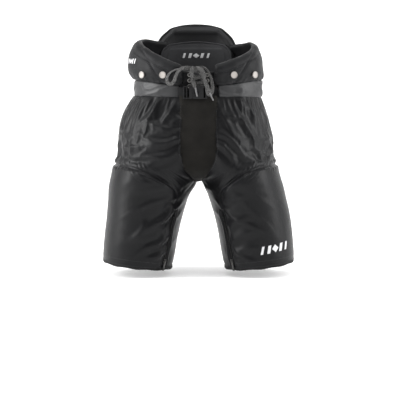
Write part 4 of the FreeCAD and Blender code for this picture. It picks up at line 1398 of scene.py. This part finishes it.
# the smooth line of a route
def routeLine(points, steps=8):
    curve = bpy.data.curves.new("route", "CURVE")
    curve.dimensions = "3D"
    spline = curve.splines.new("NURBS")
    spline.points.add(len(points) - 1)
    for point, co in zip(spline.points, points):
        point.co = (*co, 1)
    spline.order_u = 3
    spline.use_endpoint_u = True
    curve.resolution_u = steps
    holder = bpy.data.objects.new("route", curve)
    scene.collection.objects.link(holder)
    bpy.context.view_layer.update()
    mesh = bpy.data.meshes.new_from_object(holder)
    line = np.array([v.co[:] for v in mesh.vertices])
    bpy.data.objects.remove(holder)
    bpy.data.meshes.remove(mesh)
    bpy.data.curves.remove(curve)
    return line


def lengthOf(line):
    return float(np.linalg.norm(np.diff(line, axis=0), axis=1).sum())


# a flat ribbon swept along a line; facing gives the way its face looks, and twist turns it about the line
def ribbonAlong(name, line, width, thick, facing, twist=None, around=16, step=0.0012, square=0.45,
                taper=None):
    run = np.concatenate([[0], np.cumsum(np.linalg.norm(np.diff(line, axis=0), axis=1))])
    columns = max(6, int(run[-1] / step))

    def place(u, w):
        at = u * run[-1]
        co = np.column_stack([np.interp(at, run, line[:, k]) for k in range(3)])
        ahead = np.column_stack([np.interp(np.clip(at + 0.0015, 0, run[-1]), run, line[:, k])
                                 for k in range(3)])
        behind = np.column_stack([np.interp(np.clip(at - 0.0015, 0, run[-1]), run, line[:, k])
                                  for k in range(3)])
        tangent = ahead - behind
        tangent /= np.linalg.norm(tangent, axis=1, keepdims=True)
        face = facing(co)
        face = face - tangent * (face * tangent).sum(1)[:, None]
        face /= np.linalg.norm(face, axis=1, keepdims=True)
        side = np.cross(tangent, face)
        if twist is not None:
            a = twist(u)[:, None]
            face, side = face * np.cos(a) + side * np.sin(a), side * np.cos(a) - face * np.sin(a)
        angle = w * 2 * math.pi
        across = np.sign(np.cos(angle)) * np.abs(np.cos(angle)) ** square * width / 2
        up = np.sign(np.sin(angle)) * np.abs(np.sin(angle)) ** 0.8 * thick / 2
        if taper is not None:
            across = across * taper(u)
        return co + side * across[:, None] + face * up[:, None]
    piece = gridPiece(name, columns, around, place, joined=True, closeEnds=True)
    return piece


def towardsFront(co):
    return np.tile((0.0, -1.0, 0.0), (len(co), 1))


def outwards(co):
    return np.stack([co[:, 0] / waistHalfWidth ** 2, co[:, 1] / waistHalfDepth ** 2, 0 * co[:, 0]], axis=1)


# the fly: a facing on each side, with the eyelets, over a padded tongue
fly = {"depth": 0.0092, "thick": 0.0028, "inner": 0.011, "outer": 0.052, "low": -0.021, "high": 0.044,
       "tongueDepth": 0.0192, "tongueThick": 0.0052, "tongueHalf": 0.056}


def flyPanel(name, x0, x1, depth, thick, seed, puff, creases, around=40, columns=60):
    def place(u, w):
        out, z = padSection(w, fly["low"], fly["high"], thick, thick * 0.45)
        x = x0 + (x1 - x0) * u
        end = np.clip(np.minimum(u, 1 - u) / 0.05, 0, 1)
        out = thick / 2 + (out - thick / 2) * (0.35 + 0.65 * np.sqrt(end))
        front = out < thick / 2
        lift = creases * ridges(x / 0.030 + z / 0.05, z / 0.014, seed, 1.4)
        lift += puff * np.sin(np.clip((z - fly["low"]) / (fly["high"] - fly["low"]), 0, 1) * math.pi) ** 0.6
        rise = (z - fly["low"]) * 0.02
        a, b = waistHalfWidth - depth - out + rise, waistHalfDepth - depth - out + rise * 0.5
        b = b + lift * front * end
        return np.stack([x, -b * np.sqrt(1 - (x / a) ** 2), z], axis=1)
    return gridPiece(name, columns, around, place, joined=True, closeEnds=True)


for side, way, seed in (("left", 1, 3.3), ("right", -1, 8.8)):
    facing = flyPanel("fly_facing_fabric_" + side, way * fly["inner"], way * fly["outer"], fly["depth"],
                      fly["thick"],
                      seed, 0.0, 0.0013)
    facing.data.materials.append(satinDark)
    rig.slot(facing, "satin_nylon")
    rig.replaces(facing, "fly_facing_" + side)
    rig.ride(facing, "root")
    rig.padded(facing, fill=0.3)
tongue = flyPanel("fly_tongue_pad", -fly["tongueHalf"], fly["tongueHalf"], fly["tongueDepth"],
                  fly["tongueThick"], 5.1,
                  0.0015, 0.0006)
tongue.data.materials.append(panelKnitWithPaintedLight)
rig.slot(tongue, "liner_cloth")
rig.replaces(tongue, "fly_tongue")
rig.ride(tongue, "root")
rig.padded(tongue, fill=0.5)
print("fly sewn")

# the lace: through the eyelets, then a bow whose loops and tails hang over the buckle
lace = {"width": 0.0095, "thick": 0.0016, "eyeletX": 0.022, "rows": (0.008, 0.022, 0.036), "insideY": -0.0979,
        "nearY": -0.1105, "farY": -0.1159, "knot": (-0.009, -0.124, 0.050)}
loopRight = ((-0.017, -0.125, 0.052), (-0.033, -0.131, 0.056), (-0.048, -0.131, 0.049),
             (-0.056, -0.129, 0.034),
             (-0.060, -0.126, 0.019), (-0.070, -0.122, 0.011), (-0.079, -0.120, 0.020),
             (-0.076, -0.121, 0.036),
             (-0.062, -0.125, 0.048), (-0.044, -0.127, 0.052), (-0.029, -0.125, 0.047),
             (-0.016, -0.122, 0.048))
loopLeft = ((-0.001, -0.125, 0.053), (0.013, -0.131, 0.057), (0.025, -0.133, 0.045), (0.032, -0.133, 0.028),
            (0.035, -0.132, 0.010), (0.034, -0.131, -0.007), (0.027, -0.131, -0.016), (0.020, -0.131, -0.006),
            (0.019, -0.131, 0.010), (0.015, -0.130, 0.027), (0.008, -0.128, 0.040), (-0.002, -0.122, 0.048))
tailRight = ((-0.012, -0.126, 0.054), (-0.015, -0.135, 0.053), (-0.017, -0.138, 0.041),
             (-0.016, -0.138, 0.027),
             (-0.012, -0.138, 0.014), (-0.007, -0.138, 0.003))
tailLeft = ((-0.006, -0.126, 0.053), (0.004, -0.135, 0.054), (0.012, -0.140, 0.043), (0.016, -0.141, 0.028),
            (0.019, -0.140, 0.013), (0.025, -0.140, 0.000), (0.029, -0.139, -0.010))
agletRight = (-0.003, -0.138, -0.017)
agletLeft = (0.037, -0.138, -0.027)


def makeLace(name, points, twist, stoodFor, tip=None):
    line = routeLine(points)
    narrow = None if tip is None else (lambda u: 1 - 0.62 * smoothStep(0.90, 1.0, u))
    piece = ribbonAlong(name, line, lace["width"], lace["thick"], towardsFront, twist=twist, taper=narrow)
    piece.data.materials.append(laceBraid)
    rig.slot(piece, "lace_cord")
    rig.replaces(piece, stoodFor)
    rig.ride(piece, "root")
    made = dict(exit=points[0], length=lengthOf(line), diameter=lace["width"], stiffness="limp",
                lay="hanging",
                path=[tuple(map(float, p)) for p in line])
    if tip is None:
        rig.cord(piece, far_end="object", **made)
        return
    aglet = makeAglet(name + "_aglet", points[-1], tip)
    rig.cord(piece, far_end="fitting", with_pieces=[aglet], **made)


def makeAglet(name, start, end):
    start, end = Vector(start), Vector(end)
    way = end - start
    start = start - way.normalized() * 0.002
    shape = ((0.0, 0.0016), (0.04, 0.0021), (0.10, 0.0020), (0.55, 0.0018), (0.62, 0.00165), (0.68, 0.0018),
             (0.93, 0.00165), (1.0, 0.0011))
    bm = bmesh.new()
    turned = (end - start).to_track_quat("Z", "Y").to_matrix().to_4x4()
    ring = bmesh.ops.create_circle(bm, segments=20, radius=shape[0][1], cap_ends=True)["verts"]
    edges = [e for e in bm.edges]
    for share, radius in shape[1:]:
        made = bmesh.ops.extrude_edge_only(bm, edges=edges)["geom"]
        ring = [v for v in made if isinstance(v, bmesh.types.BMVert)]
        edges = [e for e in made if isinstance(e, bmesh.types.BMEdge) and all(v in ring for v in e.verts)]
        centre = sum((v.co for v in ring), Vector()) / len(ring)
        for v in ring:
            flat = (v.co - centre)
            v.co = Vector((0, 0, share * (end - start).length)) + flat.normalized() * radius
    bmesh.ops.holes_fill(bm, edges=edges, sides=0)
    bmesh.ops.recalc_face_normals(bm, faces=bm.faces[:])
    bmesh.ops.transform(bm, matrix=Matrix.Translation(start) @ turned, verts=bm.verts[:])
    piece = finishMesh(name, bm)
    piece.data.materials.append(agletPlastic)
    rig.slot(piece, "aglet_plastic")
    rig.replaces(piece, "lace_aglets")
    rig.ride(piece, "root")
    return piece


makeLace("lace_loop_flat_right", loopRight, lambda u: 0.9 * np.sin(u * 2 * math.pi) - 0.3, "lace_loop_right")
makeLace("lace_loop_flat_left", loopLeft, lambda u: 1.1 * np.sin(u * 2 * math.pi + 0.4), "lace_loop_left")
makeLace("lace_tail_flat_right", tailRight, lambda u: math.pi * smoothStep(0.42, 0.72, u), "lace_tail_right",
         agletRight)
makeLace("lace_tail_flat_left", tailLeft, lambda u: -math.pi * smoothStep(0.40, 0.66, u), "lace_tail_left",
         agletLeft)


def joinInto(name, pieces):
    bm = bmesh.new()
    for piece in pieces:
        bm.from_mesh(piece.data)
        bpy.data.objects.remove(piece)
    return finishMesh(name, bm)


def makeLacing():
    x, near, far, inside = lace["eyeletX"], lace["nearY"], lace["farY"], lace["insideY"]
    low = lace["rows"][0]
    bar = ((-x, inside, low), (-x, near - 0.001, low), (-x * 0.8, near - 0.002, low),
           (x * 0.8, near - 0.002, low),
           (x, near - 0.001, low), (x, inside, low))
    runs = [ribbonAlong("bar", routeLine(bar), 0.0075, 0.0014, towardsFront)]
    for row in lace["rows"][1:]:
        for way, front in ((1, near), (-1, far)):
            path = ((way * 0.022, near + 0.004, row - 0.014), (way * 0.018, near, row - 0.012),
                    (0, front, row - 0.006),
                    (-way * 0.017, near - 0.001, row - 0.001), (-way * x, near, row), (-way * x, inside, row))
            runs.append(ribbonAlong("cross", routeLine(path), 0.0075, 0.0014, towardsFront))
    piece = joinInto("lace_lacing", runs)
    piece.data.materials.append(laceBraid)
    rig.slot(piece, "lace_cord")
    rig.replaces(piece, "lace_crossing")
    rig.ride(piece, "root")


# the knot: a short wrap over the strands that leave it on both sides
def makeKnot():
    cx, cy, cz = lace["knot"]
    wrap = [(cx + 0.0015 * math.sin(a * 2), cy - 0.0052 * math.cos(a), cz + 0.0058 * math.sin(a))
            for a in np.linspace(0, 2 * math.pi, 13)]
    over = ((cx + 0.011, cy + 0.001, cz - 0.001), (cx + 0.005, cy - 0.0030, cz + 0.001),
            (cx, cy - 0.0030, cz),
            (cx - 0.005, cy - 0.0030, cz - 0.001), (cx - 0.011, cy + 0.001, cz + 0.001))
    under = ((cx + 0.010, cy + 0.002, cz + 0.003), (cx, cy + 0.0028, cz),
             (cx - 0.010, cy + 0.002, cz - 0.003))
    centre = np.array((cx, cy, cz))
    runs = [ribbonAlong("wrap", routeLine(wrap), 0.0088, 0.0017, lambda co: co - centre),
            ribbonAlong("over", routeLine(over), 0.0085, 0.0032, towardsFront),
            ribbonAlong("under", routeLine(under), 0.0085, 0.0032, towardsFront)]
    piece = joinInto("lace_knot_wrap", runs)
    piece.data.materials.append(laceBraid)
    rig.slot(piece, "lace_cord")
    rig.replaces(piece, "lace_knot")
    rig.ride(piece, "root")


makeLacing()
makeKnot()
print("lace tied")

# the belt's webbing runs inside the tunnel to the buckle; its clip end follows the clip
belt = {"width": 0.025, "thick": 0.0016, "depth": 0.0040, "z": -0.007, "clipX": (-0.014, -0.1225)}


def beltAt(x):
    a, b = waistHalfWidth - belt["depth"], waistHalfDepth - belt["depth"]
    return -b * math.sqrt(1 - (x / a) ** 2)


def makeBelt():
    bx, by = belt["clipX"]
    a, b = waistHalfWidth - belt["depth"], waistHalfDepth - belt["depth"]
    z = belt["z"]
    first, last = -math.acos(0.050 / a), math.pi + math.acos(0.080 / a)
    ring = [(a * math.cos(t), b * math.sin(t), z) for t in np.linspace(first, last, 60)]
    lead = [(bx + 0.031, by + 0.0064, z), (bx + 0.0345, by + 0.0064, z), (bx + 0.0375, by + 0.0066, z),
            (0.0445, beltAt(0.0445), z)]
    strap = ribbonAlong("belt_webbing_strap", routeLine(lead + ring), belt["width"], belt["thick"], outwards,
                        around=20, step=0.006, square=0.25)
    strap.data.materials.append(webbingWeave)
    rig.slot(strap, "webbing")
    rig.replaces(strap, "belt_webbing")
    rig.ride(strap, "root")
    slack = [(-0.0795, beltAt(0.0795), z), (-0.065, beltAt(0.065), z), (-0.051, beltAt(0.051), z),
             (bx - 0.0255, by + 0.0056, z), (bx - 0.0145, by + 0.0056, z)]
    end = ribbonAlong("belt_strap_end", routeLine(slack), belt["width"], belt["thick"], outwards, around=20,
                      step=0.002, square=0.25)
    end.data.materials.append(webbingWeave)
    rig.slot(end, "webbing")
    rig.replaces(end, "belt_strap_clip_side")
    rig.blend(end, "root", "buckle_clip", start=(-0.0795, by, z), end=(-0.040, by, z))


makeBelt()
print("belt threaded")


# stitches: short capsules laid along a row of points on a sewn surface
stitch = {"pitch": 0.0034, "half": 0.0011, "radius": 0.00034}


def capsuleShape():
    bm = bmesh.new()
    bmesh.ops.create_uvsphere(bm, u_segments=6, v_segments=4, radius=1)
    bmesh.ops.recalc_face_normals(bm, faces=bm.faces[:])
    corners = np.array([tuple(v.co) for v in bm.verts])
    faces = [[v.index for v in face.verts] for face in bm.faces]
    bm.free()
    return corners * (stitch["half"], stitch["radius"], stitch["radius"]), faces


capsule, capsuleFaces = capsuleShape()


def stitchRow(line, out):
    run = np.concatenate([[0], np.cumsum(np.linalg.norm(np.diff(line, axis=0), axis=1))])
    at = np.arange(stitch["pitch"] / 2, run[-1], stitch["pitch"])
    co, ahead, up = (np.column_stack([np.interp(x, run, rows[:, k]) for k in range(3)])
                     for x, rows in ((at, line), (at + 0.0008, line), (at, out)))
    along = ahead - co
    along /= np.linalg.norm(along, axis=1)[:, None] + 1e-9
    up /= np.linalg.norm(up, axis=1)[:, None] + 1e-9
    side = np.cross(up, along)
    shape = capsule[None]
    return (co[:, None] + up[:, None] * 0.0001 + shape[..., :1] * along[:, None]
            + shape[..., 1:2] * side[:, None]
            + shape[..., 2:] * up[:, None])


def stitchPiece(name, rows, slotName, body=None, blended=None):
    made = np.concatenate([stitchRow(line, out) for line, out in rows])
    count = capsule.shape[0]
    faces = [[i + k * count for i in face] for k in range(len(made)) for face in capsuleFaces]
    mesh = bpy.data.meshes.new(name)
    mesh.from_pydata(made.reshape(-1, 3).tolist(), [], faces)
    mesh.shade_smooth()
    piece = bpy.data.objects.new(name, mesh)
    scene.collection.objects.link(piece)
    piece.data.materials.append(stitchThreadWithPaintedHighlight)
    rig.slot(piece, slotName)
    if blended:
        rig.blend(piece, "root", "leg_" + blended, **legBend(blended))
    else:
        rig.ride(piece, body)


# finds places on a finished shell from its cloth coordinates
def clothFinder(piece):
    uv, co, normals = uvOf(piece), pointsOf(piece), normalsOf(piece)
    tree = KDTree(len(uv))
    for i, (a, b) in enumerate(uv):
        tree.insert((a * 0.62, b * 0.44, 0), i)
    tree.balance()

    def find(us, vs):
        points, outs = [], []
        for a, b in zip(us, vs):
            near = tree.find_n((a * 0.62, b * 0.44, 0), 4)
            weights = np.array([1 / (d * d + 1e-8) for _, _, d in near])
            weights /= weights.sum()
            index = [i for _, i, _ in near]
            points.append(weights @ co[index])
            outs.append(weights @ normals[index])
        return np.array(points), np.array(outs)
    return find


def firstInside(us, vs, depth):
    flat = sideSurface(us, vs)
    inside = panelDepth(flat)[0]
    hit = np.argmax(inside > depth)
    return hit if inside[hit] > depth else None


def sewShell(side):
    find = clothFinder(shells[side])
    scan = np.linspace(0.36, 0.72, 120)
    level = [(u, scan[i]) for u in np.linspace(0.15, 0.85, 120)
             for i in [firstInside(np.full(120, u), scan, 0.0062)] if i is not None]
    rows = [find(*zip(*level))]
    across = np.linspace(0.02, 0.30, 120)
    for turned in (False, True):
        upright = []
        for v in np.linspace(0.66, 0.965, 70):
            us = 1 - across if turned else across
            i = firstInside(us, np.full(120, v), 0.0075)
            if i is not None:
                upright.append((us[i], v))
        if len(upright) > 3:
            rows.append(find(*zip(*upright)))
    around = np.linspace(0.0, 1.0, 160)
    rows.append(find(around, np.full(160, 0.966)))
    for u in (0.0085, 0.9915):
        down = np.linspace(0.02, 0.80, 150)
        rows.append(find(np.full(150, u), down))
    stitchPiece("shell_stitching_" + side, rows, "shell_nylon", blended=side)


def nearestRows(piece, lines):
    tree = BVHTree.FromObject(piece, bpy.context.evaluated_depsgraph_get())
    rows = []
    for line in lines:
        found = [tree.find_nearest(Vector(p))[:2] for p in line]
        rows.append((np.array([f[0] for f in found]), np.array([f[1] for f in found])))
    return rows


def ringLine(face, zs, x0, x1, side, count=120, far=0.004):
    first, last = -math.acos(x0 / face[1][1]), math.acos(x1 / face[1][1])
    line = []
    for t in np.linspace(first, last, count):
        y = face[1][2] * math.sin(t)
        z = float(smoothTable(zs, np.array([y]))[0]) if isinstance(zs, tuple) else zs
        a = float(smoothTable(face, np.array([z]), 1)[0]) + far
        b = float(smoothTable(face, np.array([z]), 2)[0]) + far
        line.append((side * a * math.cos(t), b * math.sin(t), z))
    return line


for side, way in (("left", 1), ("right", -1)):
    sewShell(side)
    pad = bpy.data.objects["kidney_cover_" + side]
    rim = tuple((y, z - 0.0235) for y, z in kidneyTop)
    foot = tuple((y, z + 0.0045) for y, z in kidneyFoot)
    lines = [ringLine(kidneyFace, rim, 0.060, 0.105, way), ringLine(kidneyFace, foot, 0.052, 0.105, way)]
    for shift in (-0.0035, 0.0035):
        heights = np.linspace(0.026, 0.092, 24)
        slant = []
        for z in heights:
            x = 0.100 + (z - 0.03) * 0.62 + shift
            a, b = float(smoothTable(kidneyFace, np.array([z]), 1)[0]), float(smoothTable(kidneyFace,
                np.array([z]), 2)[0])
            slant.append((way * x, -b * math.sqrt(max(0.02, 1 - (x / a) ** 2)) - 0.003, z))
        lines.append(slant)
    stitchPiece("kidney_stitching_" + side, nearestRows(pad, lines), "pad_cover", body="root")
    tunnelPiece = bpy.data.objects["belt_tunnel_fabric_" + side]
    waist = ((0.0, waistHalfWidth, waistHalfDepth), (0.001, waistHalfWidth, waistHalfDepth))
    high = tuple((y, z - 0.0035) for y, z in tunnel["top"])
    lines = [ringLine(waist, high, 0.052, 0.004, way), ringLine(waist, -0.0180, 0.052, 0.004, way)]
    stitchPiece("belt_stitching_" + side, nearestRows(tunnelPiece, lines), "satin_nylon", body="root")
    tape = bpy.data.objects["hem_tape_" + side]
    around = np.linspace(0.0, 1.0, 200)
    band = sideSurface(around, np.full(200, 1.0), edges=centreEdge) * (way, 1, 1) + (0, 0, 0.0015)
    stitchPiece("hem_stitching_" + side, nearestRows(tape, [band]), "binding_tape", body="leg_" + side)


def insetRim(outline, size, gap, inside):
    points = rimOf(outline, size, outward=-gap, inside=inside)
    return [tuple(p) for p in points]


stitchPiece("back_stitching", nearestRows(backCover, [insetRim(backOutline, backPad, 0.0075, 1.05)]),
            "pad_cover",
            body="root")
stitchPiece("panel_stitching", nearestRows(lumbarPanel, [insetRim(panelOutline, lumbar, 0.0065, 1.3)]),
            "liner_cloth", body="root")
print("stitched")

# plain printed marks: slanted bars either side of a diamond, laid on the surface
marks = {
    "leg": {"at": (0.196, -0.397), "size": (0.092, 0.020), "tilt": 8.0},
    "panel": {"at": (backShift, 0.0835), "size": (0.078, 0.0125), "tilt": 0.0},
    "hip": {"at": (0.040, 0.070), "size": (0.056, 0.0125), "tilt": 0.0},
}


def markShapes(width, height):
    bars, step, slant = [], width / 5.6, height * 0.30
    for k in (-2, -1, 1, 2):
        x, half = k * step * 1.12, step * (0.27 if abs(k) == 1 else 0.20)
        bars.append([(x - half - slant / 2, -height / 2), (x + half - slant / 2, -height / 2),
                     (x + half + slant / 2, height / 2), (x - half + slant / 2, height / 2)])
    bars.append([(-step * 0.62, 0), (0, -height / 2), (step * 0.62, 0), (0, height / 2)])
    return bars


def makeMark(name, target, mark, toSpace, aim, body, slotName):
    tree = BVHTree.FromObject(target, bpy.context.evaluated_depsgraph_get())
    bm = bmesh.new()
    for outline in markShapes(*mark["size"]):
        bm.faces.new([bm.verts.new((x, y, 0)) for x, y in outline])
    bmesh.ops.subdivide_edges(bm, edges=bm.edges[:], cuts=9, use_grid_fill=True)
    bmesh.ops.rotate(bm, verts=bm.verts[:], cent=(0, 0, 0),
                     matrix=Matrix.Rotation(math.radians(mark["tilt"]), 3, "Z"))
    aim = Vector(aim)
    for vert in bm.verts:
        start = Vector(toSpace(vert.co.x + mark["at"][0], vert.co.y + mark["at"][1]))
        hit = tree.ray_cast(start - aim * 0.5, aim)
        vert.co = hit[0] - aim * 0.00025 if hit[0] else start
    bmesh.ops.recalc_face_normals(bm, faces=bm.faces[:])
    bmesh.ops.solidify(bm, geom=bm.faces[:], thickness=0.0004)
    bmesh.ops.recalc_face_normals(bm, faces=bm.faces[:])
    piece = finishMesh(name, bm)
    piece.data.materials.append(printInk)
    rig.slot(piece, slotName)
    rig.ride(piece, body)


makeMark("leg_mark", shells["left"], marks["leg"], lambda a, b: (a, -0.11, b), (-0.35, 0.94, 0), "leg_left",
         "shell_nylon")
makeMark("panel_mark", lumbarPanel, marks["panel"], lambda a, b: (a, 0, b), (0, 1, 0), "root", "liner_cloth")
makeMark("hip_mark", bpy.data.objects["kidney_cover_right"], marks["hip"], lambda a, b: (-0.17, -a, b),
         (0.9, 0.42, 0), "root",
         "pad_cover")
print("marks laid on")

# studio: pale floor that curves up behind, white surround, broad soft lights
studio = {"floorDrop": 0.014, "reach": 7.0, "behind": 3.2, "rise": 4.5, "curve": 1.2, "front": 0.30,
          "rest": 1.0}


def makeFloor():
    bm = bmesh.new()
    front, back, top = -studio["reach"], studio["behind"], studio["rise"]
    profile = [(front, 0.0), (back - studio["curve"], 0.0)]
    for k in range(1, 13):
        a = math.pi / 2 * k / 12
        profile.append((back - studio["curve"] + studio["curve"] * math.sin(a),
                        studio["curve"] * (1 - math.cos(a))))
    profile.append((back, top))
    z0 = hemFoot - studio["floorDrop"]
    line = [bm.verts.new((-studio["reach"], y, z0 + z)) for y, z in profile]
    edges = [bm.edges.new(pair) for pair in zip(line, line[1:])]
    made = bmesh.ops.extrude_edge_only(bm, edges=edges)
    across = [v for v in made["geom"] if isinstance(v, bmesh.types.BMVert)]
    bmesh.ops.translate(bm, verts=across, vec=(studio["reach"] * 2, 0, 0))
    bmesh.ops.recalc_face_normals(bm, faces=bm.faces[:])
    floor = finishMesh("studio_floor", bm)
    material, _ = newMaterial("studio floor", Base_Color=(0.9, 0.9, 0.9, 1), Roughness=0.9,
                              Specular_IOR_Level=0.1,
                              Emission_Color=(1, 1, 1, 1), Emission_Strength=0.35)
    floor.data.materials.append(material)
    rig.stage(floor)


def areaLight(name, place, aim, size, power, tall=None):
    data = bpy.data.lights.new(name, "AREA")
    data.shape = "RECTANGLE"
    data.size, data.size_y = size, tall or size
    data.energy = power
    lamp = bpy.data.objects.new(name, data)
    lamp.location = place
    lamp.rotation_euler = (Vector(aim) - Vector(place)).to_track_quat("-Z", "Y").to_euler()
    scene.collection.objects.link(lamp)


scene.view_settings.view_transform = "Standard"
world = bpy.data.worlds.new("surround")
scene.world = world
world.use_nodes = True


# the surround is white behind and at the sides, and dim where the camera stands
def lightWorld(tree):
    behind = tree.nodes["Background"]
    behind.inputs["Color"].default_value = (1, 1, 1, 1)
    place = node(tree, "ShaderNodeTexCoord")
    split = node(tree, "ShaderNodeSeparateXYZ")
    tree.links.new(place.outputs["Generated"], split.inputs["Vector"])
    reach = node(tree, "ShaderNodeMapRange", interpolation_type="SMOOTHSTEP")
    reach.inputs["From Min"].default_value = -0.95
    reach.inputs["From Max"].default_value = -0.25
    reach.inputs["To Min"].default_value = studio["front"]
    reach.inputs["To Max"].default_value = studio["rest"]
    tree.links.new(split.outputs["Y"], reach.inputs["Value"])
    tree.links.new(reach.outputs["Result"], behind.inputs["Strength"])


lightWorld(world.node_tree)
makeFloor()
areaLight("left softbox", (-2.5, -0.45, 0.6), (0, 0, -0.2), 0.9, 78, 2.0)
areaLight("right softbox", (2.5, -0.40, 0.6), (0, 0, -0.2), 0.9, 50, 2.0)
areaLight("top softbox", (-0.3, -1.0, 2.4), (0, 0, -0.2), 1.6, 24, 0.8)
print("studio lit")

low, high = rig.bounds()
with open("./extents.json", "w") as sizes:
    json.dump({"cad": [list(map(float, k)) for k in cadBounds],
               "visual": [list(map(float, low)), list(map(float, high))]},
              sizes)
